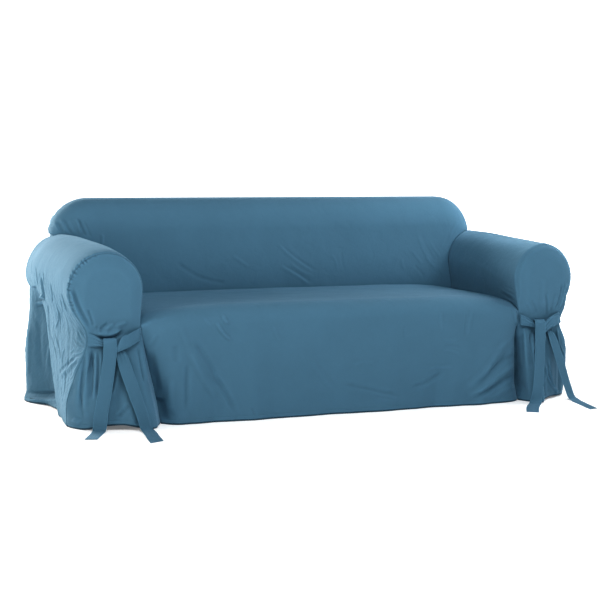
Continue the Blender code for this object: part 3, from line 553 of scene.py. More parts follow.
def seat_cloth(across, row):
    """Points of the seat's cloth, which also hangs down in front as the skirt."""
    depth, height = (np.repeat(v[:, None], len(across), axis=1) for v in seat_middle(row))
    x, edge_depth, edge_z = (np.zeros_like(depth) for _ in range(3))
    for side, half in (("left", across <= 0), ("right", across > 0)):
        along = np.clip(1.0 - row, 0.0, 1.0) * arm_rear_edge(side, np.zeros(1))[0]
        seam_x, seam_depth, seam_z = groove(side, np.clip(2.0 - row, 0.0, 1.0))
        deck = row <= 1.0
        x[:, half] = np.where(deck, SEAT_X, seam_x)[:, None] * across[None, half]
        edge_depth[:, half] = np.where(deck, along, seam_depth)[:, None]
        edge_z[:, half] = np.where(deck, column(SEAT_SIDE, "height", "depth", along), seam_z)[:, None]
    power = (14.0 + 8.0 * smooth((row - 1.0) / 0.2))[:, None]
    sink = np.abs(across)[None, :] ** 7
    draw = np.abs(across)[None, :] ** power
    folds = skirt_folds(x, height) * (1.0 - draw) * (row > 1.0)[:, None]
    depth = depth - folds
    return np.stack([x, depth + (edge_depth - depth) * draw, height + (edge_z - height) * sink], axis=2)


# Fronts of the arms

def arm_front_depth(side, x, height):
    """How the front of an arm bulges above the tie, and flares in pleats below it."""
    roll_end = float(arm_section(side, np.array([2.0]), np.zeros(1))[1][0])
    inner = column(GROOVE[side], "x", "height", height)
    outer = hang_x(side, np.minimum(height, roll_end), np.zeros_like(height), roll_end)
    share = np.clip((np.abs(x) - inner) / (outer - inner), 0.0, 1.0)
    above = smooth((height - TIE_HEIGHT - 0.028) / 0.06)
    below = smooth((TIE_HEIGHT - 0.01 - height) / 0.34)
    flare = column(FRONT_HEM[side], "depth", "share", share) * below
    for top, hem, half, rise in zip(*PLEATS[side].values()):
        line = hem + (top - hem) * height / TIE_HEIGHT
        strength = smooth((TIE_HEIGHT - 0.015 - height) / 0.10)
        flare = flare - rise * strength * ridge((share - line) * (outer - inner), half)
    roll = ARM_TOP[side]["height"][0] - ROLL_RADIUS
    rim = ROLL_RADIUS - np.hypot(np.abs(x) - ARM_X, np.maximum(height - roll, 0.0))
    bulge = FRONT_BULGE * smooth(np.clip(rim, 0.0, None) / 0.06)
    return flare - bulge * above - BAND_DENT * (1.0 - above) * (1.0 - below)


# Building a sheet of cloth

ROW_SHARE = 0.866          # height of a row of the staggered lattice, in spacings
BORDER_CLEAR = 0.62        # how far the lattice keeps from the border, in spacings
BORDER_REACH = 0.035       # how far a border bends the cloth beside it
BATCH = 4000               # points worked on together
SPOTS = 96                 # random spots a side, before they repeat
CREASE_STEPS = 8           # straight pieces of a crease
CREASE_END = 0.22          # share of its length over which it fades
RIDGE_RADIUS = 0.008       # of a fold that counts as fully sharp
SEAM_GRIP = 0.012          # how far a seam holds the cloth down
CREASE_GRIP = 0.006
FINE_GRIP = 0.004
HEM_CURL = 0.004           # how far the hem's edge leans in, and from what height
HEM_CURL_HEIGHT = 0.009
HEM_FOLD = ((0.0, 0.0, 0.0),           # the fold's rows: inwards, up, and how much cloth it took
            (0.0016, -0.0006, 0.001),
            (0.0034, 0.0006, 0.002),
            (0.0046, 0.0220, 0.023))
FLOOR_CLEARANCE = 0.0004

def inside(outline, places):
    """Which flat places lie inside a closed outline."""
    odd = np.zeros(len(places), bool)
    for (x0, z0), (x1, z1) in zip(outline, np.roll(outline, -1, axis=0)):
        if z0 != z1:
            crosses = (z0 > places[:, 1]) != (z1 > places[:, 1])
            odd ^= crosses & (places[:, 0] < x0 + (places[:, 1] - z0) * (x1 - x0) / (z1 - z0))
    return odd


def line_distance(line, places):
    """How far each place is from an open line of points, flat or in space."""
    best = np.full(len(places), FAR)
    for start, end in zip(line[:-1], line[1:]):
        run = end - start
        share = np.clip((places - start) @ run / max(run @ run, 1e-12), 0.0, 1.0)
        best = np.minimum(best, ((start + share[:, None] * run - places) ** 2).sum(1))
    return np.sqrt(best)


def filled(border, spacing, depth_at):
    """A panel seen from the front or the rear: its border and a staggered lattice inside it."""
    outline = border[:, [0, 2]]
    closed = np.concatenate([outline, outline[:1]])
    low, high = outline.min(0), outline.max(0)
    rows = np.arange(low[1], high[1], spacing * ROW_SHARE)
    columns = np.arange(low[0], high[0], spacing)
    x = columns[None, :] + np.where(np.arange(len(rows)) % 2, 0.5, 0.0)[:, None] * spacing
    places = np.stack([x.ravel(), np.repeat(rows, len(columns))], axis=1)
    places = places[inside(outline, places)]
    places = places[line_distance(closed, places) > BORDER_CLEAR * spacing]
    flat = [Vector(p) for p in np.concatenate([outline, places])]
    count = len(border)
    edges = [(i, (i + 1) % count) for i in range(count)]
    _, _, faces, _, _, _ = delaunay_2d_cdt(flat, edges, [], 1, 1e-7)
    depth = depth_at(places[:, 0], places[:, 1])
    miss = border[:, 1] - depth_at(outline[:, 0], outline[:, 1])
    for start in range(0, len(places), BATCH):
        some = slice(start, start + BATCH)
        away = ((places[some, None, :] - outline[None, :, :]) ** 2).sum(2)
        weight = 1.0 / (away + 1e-9)
        near = np.exp(-np.sqrt(away.min(1)) / BORDER_REACH)
        depth[some] += near * (weight @ miss) / weight.sum(1)
    inner = np.stack([places[:, 0], depth, places[:, 1]], axis=1)
    return np.concatenate([border, inner]), np.array(faces)


def woven(points):
    """Triangles of a panel given as rows of points."""
    rows, wide = points.shape[:2]
    place = np.arange(rows * wide).reshape(rows, wide)
    a, b, c, d = place[:-1, :-1], place[:-1, 1:], place[1:, 1:], place[1:, :-1]
    faces = np.concatenate([np.stack([a, b, c], 2).reshape(-1, 3), np.stack([a, c, d], 2).reshape(-1, 3)])
    return points.reshape(-1, 3), faces


def steps_along(points, axis):
    """Distance run along the rows or columns of a grid of points."""
    length = np.linalg.norm(np.diff(points, axis=axis), axis=2)
    start = np.zeros_like(np.take(length, [0], axis))
    return np.concatenate([start, np.cumsum(length, axis=axis)], axis=axis)


def face_normals(points, faces):
    a, b, c = (points[faces[:, k]] for k in range(3))
    return np.cross(b - a, c - a)


def facing(points, faces, core):
    """The faces, turned if need be to look away from a point inside the cover."""
    away = points[faces].mean(1) - core
    return faces if (face_normals(points, faces) * away).sum() > 0 else faces[:, ::-1]


def normals_of(points, faces):
    face = face_normals(points, faces)
    total = np.zeros_like(points)
    for k in range(3):
        np.add.at(total, faces[:, k], face)
    return total / np.maximum(np.linalg.norm(total, axis=1), 1e-12)[:, None]


def creases(rows, u, v):
    """Height of a panel's creases at flat places (u, v). Each row runs from (u0, v0) to
    (u1, v1), bowed sideways; half is its half width, height its rise or, below 0, its depth, and
    lean from -1 to 1 makes one of its sides steeper."""
    total = np.zeros_like(u)
    for *course, half, height, lean in zip(*rows.values()):
        u0, v0, u1, v1, bow = 0.01 * np.array(course)
        half, height = 0.001 * half, 0.001 * height
        t = np.linspace(0.0, 1.0, CREASE_STEPS + 1)
        run = np.array([u1 - u0, v1 - v0])
        length = np.hypot(*run)
        across = np.array([-run[1], run[0]]) / length
        line = np.array([u0, v0]) + run * t[:, None] + across * (4.0 * bow * t * (1.0 - t))[:, None]
        low, high = line.min(0) - half, line.max(0) + half
        close = np.flatnonzero((u > low[0]) & (u < high[0]) & (v > low[1]) & (v < high[1]))
        if not len(close):
            continue
        places = np.stack([u[close], v[close]], axis=1)
        best, offset, where = np.full(len(close), FAR), np.zeros(len(close)), np.zeros(len(close))
        for k in range(CREASE_STEPS):
            step = line[k + 1] - line[k]
            share = np.clip((places - line[k]) @ step / (step @ step), 0.0, 1.0)
            away = places - line[k] - share[:, None] * step
            distance = np.hypot(*away.T)
            side = np.sign(step[0] * away[:, 1] - step[1] * away[:, 0])
            nearer = distance < best
            best = np.where(nearer, distance, best)
            offset = np.where(nearer, distance * side, offset)
            where = np.where(nearer, (k + share) / CREASE_STEPS, where)
        reach = half * (1.0 - lean * np.sign(offset) * 0.8)
        ends = smooth(where / CREASE_END) * smooth((1.0 - where) / CREASE_END)
        total[close] += height * ends * smooth(1.0 - best / reach)
    return total


def wrinkles(u, v, wide, long, lean, seed):
    """Narrow wrinkles from 0 to 1 with sharp tops, this wide and long. They run along v, or
    lean from it, and wander."""
    wander = 0.9 * uneven(u, v, long, seed + 1) + 0.4 * uneven(u, v, 0.3 * long, seed + 2)
    across = (u + lean * v) / wide + wander
    return (1.0 - np.abs(uneven(across, v / long, 1.0, seed))) ** 2


def uneven(u, v, size, seed):
    """Soft unevenness from -1 to 1, in spots of this size."""
    spots = np.random.default_rng(seed).uniform(-1.0, 1.0, (SPOTS + 1, SPOTS + 1))
    a = (0.8 * u + 0.6 * v) / size + 400.0
    b = (0.8 * v - 0.6 * u) / size + 400.0
    i, j = np.floor(a).astype(int), np.floor(b).astype(int)
    s, t = smooth(a - i), smooth(b - j)
    i, j = i % SPOTS, j % SPOTS
    low = spots[i, j] * (1.0 - s) + spots[i + 1, j] * s
    high = spots[i, j + 1] * (1.0 - s) + spots[i + 1, j + 1] * s
    return low * (1.0 - t) + high * t


def round_seam(arm, front, count, radius):
    """Rounds the edge at an arm's front seam. Along it, both panels leave their corner for a
    curve of this radius, given for each of the seam's count points."""
    wide = len(arm.points) // count
    outward = arm.normals[::wide] * (1.0, 0.0, 1.0)
    outward /= np.linalg.norm(outward, axis=1)[:, None]
    back = np.array([0.0, 1.0, 0.0])

    def bent(points, away, reach, inward, along):
        turn = math.pi / 4.0 * np.clip(1.0 - away / np.maximum(reach, 1e-6), 0.0, 1.0)
        close = away < reach
        drop = np.where(close, reach * (1.0 - np.cos(turn)), 0.0)
        slide = np.where(close, reach * (1.0 - np.sin(turn)) - away, 0.0)
        return points + inward * drop[:, None] + along * slide[:, None]

    grid = arm.points.reshape(count, wide, 3)
    start = grid[:, 0].copy()
    for k in range(wide):
        grid[:, k] = bent(grid[:, k], grid[:, k, 1] - start[:, 1], radius, -outward, back)
    arm.points = grid.reshape(-1, 3)
    gap, nearest = np.full(len(front.points), FAR), np.zeros(len(front.points), int)
    for k in range(count):
        away = np.hypot(*(front.points - start[k])[:, [0, 2]].T)
        nearest, gap = np.where(away < gap, k, nearest), np.minimum(away, gap)
    gap = np.where(gap < 1e-6, 0.0, gap)
    front.points = bent(front.points, gap, radius[nearest], back, -outward[nearest])


def sharpness(points, normals, faces):
    """How sharply the cloth bends at each point, over the few millimetres round it: above 0 on
    a ridge, below 0 in a valley, and 1 for a fold of 8 mm radius."""
    ends = np.concatenate([faces[:, [0, 1]], faces[:, [1, 2]], faces[:, [2, 0]]])
    ends = np.concatenate([ends, ends[:, ::-1]])
    way = points[ends[:, 1]] - points[ends[:, 0]]
    drop = (way * normals[ends[:, 0]]).sum(1) / np.maximum((way ** 2).sum(1), 1e-8)
    count = np.maximum(np.bincount(ends[:, 0], minlength=len(points)), 1)
    bend = -2.0 * np.bincount(ends[:, 0], drop, len(points)) / count * RIDGE_RADIUS
    for _ in range(2):
        bend = 0.5 * bend + 0.5 * np.bincount(ends[:, 0], bend[ends[:, 1]], len(points)) / count
    return np.clip(bend, -1.0, 1.0)


class Sheet:
    """One panel on its way to an object: its triangles, its flat cut in metres, and how far each
    point is from the nearest seam and from the hem."""

    def __init__(self, name, points, faces, cut, core, seam, hem=None):
        self.name = name
        self.faces = facing(points, faces, np.array(core))
        self.core = np.array(core)
        self.points = points
        self.normals = normals_of(points, self.faces)
        self.cut = cut
        self.seam = seam
        self.hem = np.full(len(points), 1.0) if hem is None else hem

    def lift(self, height, grip=SEAM_GRIP):
        """Moves the cloth outwards, but not at its seams, which hold it as far as grip."""
        held = smooth(self.seam / grip)
        self.points = self.points + self.normals * (height * held)[:, None]

    def puff(self, rise):
        """The cloth rises round and soft from its seams, and settles again further away."""
        share = (1.0 - np.exp(-self.seam / 0.006)) * (0.35 + 0.65 * np.exp(-self.seam / 0.06))
        self.points = self.points + self.normals * (rise * share)[:, None]

    def turn_hem(self, line):
        """Folds the cloth under at its hem, which is this row of its own points. Its last few
        millimetres curl in towards the fold. The fold turns to the side that the panel's core is
        on, which is the outside for some of the arms' hems behind their side folds."""
        curl = HEM_CURL * np.clip(1.0 - self.hem / HEM_CURL_HEIGHT, 0.0, 1.0) ** 1.5
        flat = self.normals * (1.0, 1.0, 0.0)
        flat /= np.maximum(np.linalg.norm(flat, axis=1), 1e-6)[:, None]
        self.points = self.points - flat * curl[:, None]
        edge = self.points[line]
        ahead = np.gradient(edge, axis=0)
        inward = np.stack([-ahead[:, 1], ahead[:, 0], np.zeros(len(edge))], axis=1)
        inward /= np.linalg.norm(inward, axis=1)[:, None]
        inward *= np.sign((inward * (self.core - edge)).sum(1))[:, None]
        up = np.array([0.0, 0.0, 1.0])
        rows = [edge + inward * into + up * rise for into, rise, _ in HEM_FOLD]
        points, faces = woven(np.stack(rows))
        first = len(self.points)
        faces = facing(points, faces, points.mean(0) - inward.mean(0))
        self.faces = np.concatenate([self.faces, faces[:, ::-1] + first])
        self.points = np.concatenate([self.points, points])
        count = len(HEM_FOLD)
        under = np.repeat([cloth for _, _, cloth in HEM_FOLD], len(edge))
        cut = np.tile(self.cut[line], (count, 1)) - under[:, None] * (0, 1)
        self.cut = np.concatenate([self.cut, cut])
        self.seam = np.concatenate([self.seam, np.tile(self.seam[line], count)])
        self.hem = np.concatenate([self.hem, np.full(len(points), 0.002)])


def piece(sheet, material):
    """The sheet as an object that stands for the solid of the same name."""
    mesh = bpy.data.meshes.new(sheet.name)
    placed = sheet.points + np.array([0.0, FRONT_Y, 0.0])
    placed[:, 2] = np.maximum(placed[:, 2], FLOOR_CLEARANCE)
    mesh.from_pydata(placed.tolist(), [], sheet.faces.tolist())
    mesh.shade_smooth()
    cut = mesh.uv_layers.new(name="cut")
    corners = np.empty(len(mesh.loops), np.int32)
    mesh.loops.foreach_get("vertex_index", corners)
    cut.data.foreach_set("uv", sheet.cut[corners].ravel().astype(np.float32))
    # how sharply the cloth bends: it drives the painted highlight and shade of the folds in the cotton
    bend = sharpness(sheet.points, normals_of(sheet.points, sheet.faces), sheet.faces)
    bend = bend * smooth(sheet.seam / 0.004)
    for name, values in (("from_seam", sheet.seam), ("from_hem", sheet.hem), ("bend", bend)):
        mesh.attributes.new(name, "FLOAT", "POINT").data.foreach_set("value", values.astype(np.float32))
    mesh.materials.append(material)
    made = bpy.data.objects.new(f"{sheet.name}_cloth", mesh)
    bpy.context.scene.collection.objects.link(made)
    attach(made, "root")
    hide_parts(sheet.name)
    return made


# The panels

CLIMB_ROWS, ROLL_ROWS, HANG_ROWS = 30, 104, 160
STAGES = {side: np.concatenate([np.linspace(0.0, 1.0, CLIMB_ROWS + 1)[:-1],
                                np.linspace(1.0, ear_stage(side), ROLL_ROWS + 1)[:-1],
                                np.linspace(ear_stage(side), 2.0, ROLL_ROWS + 1)[:-1],
                                np.linspace(2.0, 3.0, HANG_ROWS)])
          for side in SIGN}
EAR_ROW = CLIMB_ROWS + ROLL_ROWS
ALONG = np.concatenate([np.linspace(0.0, 0.08, 29)[:-1], np.linspace(0.08, 1.0, 196)])
ACROSS = np.linspace(-1.0, 1.0, 361)
DECK_ROWS = 96
SKIRT_SHARES = np.linspace(1.0, 0.0, 84)
GIRTH_COLUMN = 60          # where along an arm its girth is measured for its flat cut
FRONT_SPACING = 0.0036     # between the points of a lattice
INSIDE_SPACING = 0.0050
REAR_SPACING = 0.0105


def edges_of(grid):
    """How far each point of a grid of cloth is from its seams, from its hem, and down the grid."""
    across, down = steps_along(grid, 1), steps_along(grid, 0)
    seam = np.minimum(np.minimum(across, across[:, -1:] - across), down)
    return seam.ravel(), (down[-1:] - down).ravel(), down


def arm_sheet(side):
    grid = arm_cloth(side, STAGES[side], ALONG)
    points, faces = woven(grid)
    seam, hem, down = edges_of(grid)
    top_row = CLIMB_ROWS + int(round(ROLL_ROWS * math.pi / 2.0 / EAR_ANGLE))
    girth = (down[:, GIRTH_COLUMN] - down[top_row, GIRTH_COLUMN])[:, None]
    cut = np.stack([grid[:, :, 1], np.repeat(girth, len(ALONG), axis=1)], axis=2).reshape(-1, 2)
    return Sheet(f"arm_{side}", points, faces, cut, (SIGN[side] * ARM_X, 0.40, 0.40), seam, hem), grid


def seat_sheet():
    rows = np.concatenate([np.linspace(0.0, 1.0, DECK_ROWS), 2.0 - SKIRT_SHARES[1:]])
    grid = seat_cloth(ACROSS, rows)
    points, faces = woven(grid)
    seam, hem, down = edges_of(grid)
    middle = len(ACROSS) // 2
    length = np.repeat(down[:, middle:middle + 1], len(ACROSS), axis=1)
    cut = np.stack([grid[:, :, 0], length], axis=2).reshape(-1, 2)
    return Sheet("seat_front", points, faces, cut, (0.0, 0.30, 0.20), seam, hem), grid


def arm_front_sheet(side, arm_grid):
    seam_x, seam_depth, seam_z = groove(side, SKIRT_SHARES[1:][::-1])
    inner = np.stack([SIGN[side] * seam_x, seam_depth, seam_z], axis=1)
    front = arm_grid[:, 0]
    share = np.linspace(1.0, 0.0, 90)[1:-1]
    hem_x = inner[0, 0] + (front[-1, 0] - inner[0, 0]) * share
    hem = np.stack([hem_x, column(FRONT_HEM[side], "depth", "share", share),
                    column(FRONT_HEM[side], "lift", "share", share)], axis=1)
    border = np.concatenate([inner, front, hem])
    points, faces = filled(border, FRONT_SPACING, lambda x, z: arm_front_depth(side, x, z))
    seam = line_distance(border[:len(inner) + len(front)], points)
    hem_line = np.concatenate([front[-1:], hem, inner[:1]])
    made = Sheet(f"arm_front_{side}", points, faces, points[:, [0, 2]],
                 (SIGN[side] * ARM_X, 0.40, 0.30), seam, line_distance(hem_line, points))
    first = len(inner) + len(front)
    return made, [first - 1, *range(first, first + len(hem)), 0]


def back_outline(left_ear, right_ear):
    """The top rear seam, from the left ear over the top to the right ear."""
    corner_x = BACK_HALF_WIDTH - BACK_CORNER
    corner_z = BACK_HEIGHT - BACK_CORNER
    turns = np.linspace(0.08, 1.0, 28) * math.pi / 2.0
    left = np.stack([-corner_x - BACK_CORNER * np.cos(turns), corner_z + BACK_CORNER * np.sin(turns)], 1)
    x = np.linspace(-corner_x, corner_x, 200)[1:-1]
    middle = np.stack([x, np.full_like(x, BACK_HEIGHT)], 1)
    flat = np.concatenate([left, middle, left[::-1] * (-1.0, 1.0)])
    top = np.stack([flat[:, 0], np.full(len(flat), BACK_TOP_SEAM_DEPTH), flat[:, 1]], 1)
    return np.concatenate([left_ear[None], top, right_ear[None]])


def back_sheets(seat_grid, left_grid, right_grid):
    tuck = seat_grid[0]
    left, right = left_grid[:, -1], right_grid[:, -1]
    top = back_outline(left[EAR_ROW], right[EAR_ROW])
    border = np.concatenate([tuck, right[1:EAR_ROW + 1], top[::-1][1:-1], left[EAR_ROW:0:-1]])
    points, faces = filled(border, INSIDE_SPACING, inside_back_depth)
    seam = line_distance(np.concatenate([border, border[:1]]), points)
    back_inside = Sheet("back_inside", points, faces, points[:, [0, 2]], (0.0, 0.80, 0.50), seam)
    share = np.linspace(0.0, 1.0, 240)[1:-1]
    x = right[-1, 0] + (left[-1, 0] - right[-1, 0]) * share
    hem = np.stack([x, outside_back_depth(x, np.zeros_like(x)), np.zeros_like(x)], 1)
    border = np.concatenate([top, right[EAR_ROW + 1:], hem, left[:EAR_ROW:-1]])
    points, faces = filled(border, REAR_SPACING, outside_back_depth)
    first = len(top) + len(right) - EAR_ROW - 1
    hem_line = [*range(first - 1, first + len(hem) + 1)]
    seams = np.concatenate([border[first + len(hem):], border[:first]])
    back_outside = Sheet("back_outside", points, faces, points[:, [0, 2]], (0.0, 0.60, 0.40),
                         line_distance(seams, points), line_distance(border[hem_line], points))
    return back_inside, back_outside, hem_line


# Creases. Each was picked out by eye on the photograph; a scratch program worked out its place on
# its panel's flat cut and wrote its row, and the rows were then rounded. The ends and the bow are
# in centimetres, half the width and the height in millimetres.

CREASES = {
    "arm_left": table("""
    u0 v0 u1 v1 bow half height lean
      41 25.5   51   37  1.5 15  -11   0
    81.5 38.5   45 33.5   -1 12    8 0.3
    38.5   23   41 29.5    2 10   -3   0
    53.5   22   53   31    3 10   -3   0
      69 19.5   60 26.5    1 10   -3   0
      46 22.5 50.5 32.5  3.5  9  2.5   0
    25.5 25.5   35 36.5    1  9   -3   0
    28.5   33   38 47.5    3  9  2.5   0
      26   37   27 49.5   -2 10   -3   0
    10.5 27.5   14   37  0.5  9    3   0
      16 31.5 22.5   39  0.5  8 -2.5   0
      40 48.5 25.5 59.5  1.5 12    4 0.4
      46 50.5 33.5   61  1.5 11   -3   0
      21 52.5 23.5   60   -1  9  2.5   0
    13.5   54   14   72   -2 16   -4   0
      27   67 14.5 76.5   -1 14    3   0
      43 36.5 46.5   52 -4.5 10  2.5   0
    84.5 47.5   85 72.5  1.5 25    5   0
      78 43.5   76 69.5  0.5 30   -5   0
    51.5   50 70.5 73.5   -9 20    3   0
    87.5 79.5   41 74.5    0 14   -7   0
      87 82.5   39 77.5 -0.5 18    9   0
      32 64.5    3 52.5 -0.5 15 -3.5 0.4
    29.5 65.5    1   53 -1.5 18    4   0
      81 40.5   49 36.5    1 12   -7   0"""),
    "arm_front_left": table("""
    u0 v0 u1 v1 bow half height lean
    -115.5 55.5   -108   39   -1  8    4   0
      -114   56   -107 39.5   -1 12 -6.5   0
    -108.5 47.5   -106   40    0 10   -4   0
      -105 40.5   -105   37  0.5  9   -2   0
      -111 15.5 -110.5  3.5    0  8 -2.5   0
      -110 17.5 -109.5  3.5 -0.5 14    3   0
     -93.5   10    -98  4.5    0 11 -2.5   0
       -95   11  -99.5  5.5  0.5 11    2   0
     -92.5 29.5  -89.5  7.5    0 12   -4   0
      -113   19   -113  3.5   -1 16   -4   0
    -113.5    4   -111    3    0 14    6   0
      -105 36.5  -93.5 38.5   -2 13   -7 0.3
      -106   39  -94.5 39.5 -2.5 20    9   0
      -104 37.5   -100   41  0.5 12 -3.5   0
      -102   37  -97.5   41  0.5 14  3.5   0
     -99.5   38    -92 41.5  0.5 14    3   0
      -109   31   -111    7 -0.5  9   -6 0.4
      -108   31   -110    7    0 12    7   0
    -106.5 31.5 -108.5   11  0.5 10   -9   0
      -105   31 -107.5   11  0.5  8    6   0
      -104   31   -106   13    0  8   -7   0
       -96 30.5 -100.5   13  0.5 15  -12 0.4
       -95 29.5    -93 14.5    0 12    6   0
     -86.5   32  -85.5 16.5    0  8    5   0
       -88   32    -87   17    0  9   -6   0"""),
    "seat_front": table("""
    u0 v0 u1 v1 bow half height lean
    -82.5   72   -79  93.5    0 20   -7   0
      -79   93   -77   104    0 20   -8   0
    -83.5   70   -81  65.5    0 12    2   0
      -82 71.5 -79.5  66.5 -0.5 12 -1.5   0
    -84.5   60   -80    59 -0.5 14    2   0
      -72   64 -67.5  76.5 -0.5 18    2   0
    -68.5 72.5 -55.5    96    1 32    8 0.3
      -66   71   -56    88 -0.5 20   -5   0
    -58.5 85.5 -48.5   102   -1 18 -6.5   0
    -68.5   79 -69.5   100    0 17 -5.5   0
    -73.5 71.5   -73  79.5    0 20   -3   0
      -75 84.5   -75   101  0.5 22    6   0
      -56 64.5 -49.5  72.5    1 11    6   0
      -53   62   -51    66  0.5 11    6   0
    -61.5   62   -58    66  0.5 10  1.5   0
      -31   67   -28    74    1 11  1.5   0
      -42 99.5 -40.5 103.5    0 10   -2   0
       -2 92.5  26.5  99.5    0 14   -4 0.5
     12.5 98.5    24 100.5    0 10 -1.5   0
       30   96    48  89.5  1.5 15   -4   0
     38.5 88.5    52  88.5 -0.5 12    2   0
        3 85.5  15.5  85.5 -1.5 14  1.5   0
       46   64  46.5    73    0 10    2   0
     61.5   63  59.5    76    0 10    2   0
       59 64.5  57.5    76    0 10 -1.5   0
       46   76    55  76.5  0.5  9  1.5   0
       47   79  56.5    80 -0.5 10   -2   0
       46   81    56  83.5   -1 10    2   0
     80.5   74    56  99.5   -2 24    5   0
       82   79  61.5  97.5 -1.5 22 -5.5   0
     85.5 82.5  67.5    93    1 18   -5   0
     85.5 86.5  59.5   102    0 24    8   0
       86 91.5    58 103.5    0 20   -8   0
     84.5 97.5  69.5   104    1 20    4   0
     83.5   60  86.5    69    0 16    8   0
       86   70    70    82   -2 12  1.5   0
    -15.5   82  -3.5    96    0 22    2   0
     28.5   69  28.5    76  0.5 10   -1   0"""),
    "back_inside": table("""
    u0 v0 u1 v1 bow half height lean
     -2.5 69.5    16   55   -1 13  1.5 0.5
        0   68  17.5 55.5   -1 13 -1.5   0
       -1 58.5  13.5   49  0.5 13    2 0.5
      0.5 58.5    15   50    0 13 -1.5   0
      3.5   60    16   53   -1 12  1.5   0
      -24 63.5   -16   58    0 13  1.5   0
       70 72.5    76 57.5 -0.5 13    1   0
       72   73  78.5 58.5 -0.5 13   -1   0
       66 64.5    72   57    0 12    1   0
       73   61  78.5 55.5    0 12    1   0
       61 60.5    62   55 -0.5 12    1   0
       67 57.5  72.5 51.5    0 12   -1   0
     76.5 68.5    82   60 -0.5 12    1   0
     24.5 63.5    27   55    1 12    1   0
       30   65    31   55 -0.5 12   -1   0
    -82.5   74   -83 68.5    0 10    4   0
       94   78    87 66.5 -1.5 12    1   0
     91.5   77  83.5 65.5 -0.5 12   -1   0
       89   74  81.5   64    0 12    1   0
      -40 54.5 -27.5 51.5 -0.5 14   -2   0
    -50.5   61   -37   53 -0.5 16   -2   0
     -101   79  -100 74.5    0  7    4   0
     -100   79   -99   74    0  7 -4.5   0
      -99   80 -97.5 74.5    0  8  4.5   0
    -97.5   80 -95.5 73.5 -0.5  7   -4   0
      -96   80   -94 73.5 -0.5  7    3   0
    -93.5 80.5   -92 73.5    0  8    5   0
    -92.5 80.5   -90 72.5    0  8   -5   0
    -90.5   80 -87.5   72    0  7 -2.5   0"""),
    "arm_right": table("""
    u0 v0 u1 v1 bow half height lean
    13.5   -30  1.5 -30.5 0.5  9    2 0
    11.5 -28.5  1.5 -28.5 0.5  8    1 0
    15.5 -31.5  1.5   -32 0.5  9 -1.5 0
    10.5 -27.5    1 -27.5 0.5  9   -1 0
      11   -33    1 -32.5 0.5 10  1.5 0
    41.5 -18.5 14.5   -26   0 16  0.5 0
    34.5   -18  9.5   -24 0.5 16 -0.5 0
    53.5   -23 36.5   -32 1.5 20  0.5 0
    46.5   -16   29   -26 0.5 18 -0.5 0
     2.5     1   22    17 0.5  9    3 0
     1.5   2.5 17.5  16.5   0  9   -3 0
     3.5    50  5.5    63  -2  9    5 0"""),
    "arm_front_right": table("""
    u0 v0 u1 v1 bow half height lean
     98.5 54.5    99 38.5    0 22    3   0
     92.5   45  96.5   38    0 12 -1.5   0
       90   44    94 37.5  0.5 12  1.5   0
      105 47.5 103.5   38    0 12   -2   0
     92.5   30  90.5   14 -0.5  9   -8   0
     99.5 17.5    94  4.5  2.5 16    5   0
    101.5 14.5   105  6.5    0 10   -4   0
      100 47.5   102 36.5    0 13   -4 0.3
       87   30    87  1.5    0 12  -15   0
       96   31  97.5   29    0  6   -4   0
       90 32.5  89.5  0.5    0  8   12   0
       94   30  91.5 20.5    0  7    7   0
      101   29  98.5 18.5 -0.5  7    7   0
    103.5   31 106.5 23.5    0  8    9   0
      107   32   114 17.5   -1  7   10   0
      102   19   113    1 -4.5  8   11   0
      111 51.5 107.5   39    0  7    7   0
    108.5 51.5 105.5   39  0.5  8   -4   0
       89 29.5    89    4    0  8    6 0.3
       99 16.5 107.5  3.5   -2  8    6 0.3
       96   29    94   18  1.5  8   -5   0"""),
}


# Cotton

def linear(code):
    """A colour written as #rrggbb, in the linear values that a shader takes."""
    parts = [int(code[i:i + 2], 16) / 255.0 for i in (1, 3, 5)]
    return (*[c / 12.92 if c <= 0.04045 else ((c + 0.055) / 1.055) ** 2.4 for c in parts], 1.0)


def add(tree, kind, settings=(), **inputs):
    """Adds a node with its settings, its fixed inputs and its links, and returns it. in0 and in1
    are inputs by their place, and a node given for an input links by its first output."""
    node = tree.nodes.new("ShaderNode" + kind)
    for name, value in dict(settings).items():
        setattr(node, name, value)
    for name, value in inputs.items():
        socket = node.inputs[int(name[2:]) if name[2:].isdigit() else name.replace("_", " ")]
        if isinstance(value, bpy.types.Node):
            value = value.outputs[0]
        if isinstance(value, bpy.types.NodeSocket):
            tree.links.new(value, socket)
        else:
            socket.default_value = value
    return node


TIMES, PLUS, MINUS, SINE, SIZE = ({"operation": word} for word in
                                  ("MULTIPLY", "ADD", "SUBTRACT", "SINE", "ABSOLUTE"))
SOFT = {"interpolation_type": "SMOOTHSTEP"}
PLANE = {"noise_dimensions": "2D"}
WEAVE_REPEAT = 0.0010      # two threads
SLUB_SCALE = (900.0, 60.0, 1.0)        # to the metre: across a thread, and along it
RUMPLE_SCALE, CRUMPLE_SCALE, PATCH_SCALE = 22.0, 85.0, 5.0
RUMPLE_DEPTH, CRUMPLE_DEPTH, EDGE_DEPTH, THREAD_DEPTH = 0.0022, 0.0008, 0.0012, 0.00022
SEAM_VALLEY = 0.005
STITCH_LINE = 0.020        # above the hem's edge
STITCH_WIDTH, STITCH_LENGTH = 0.0022, 0.0035


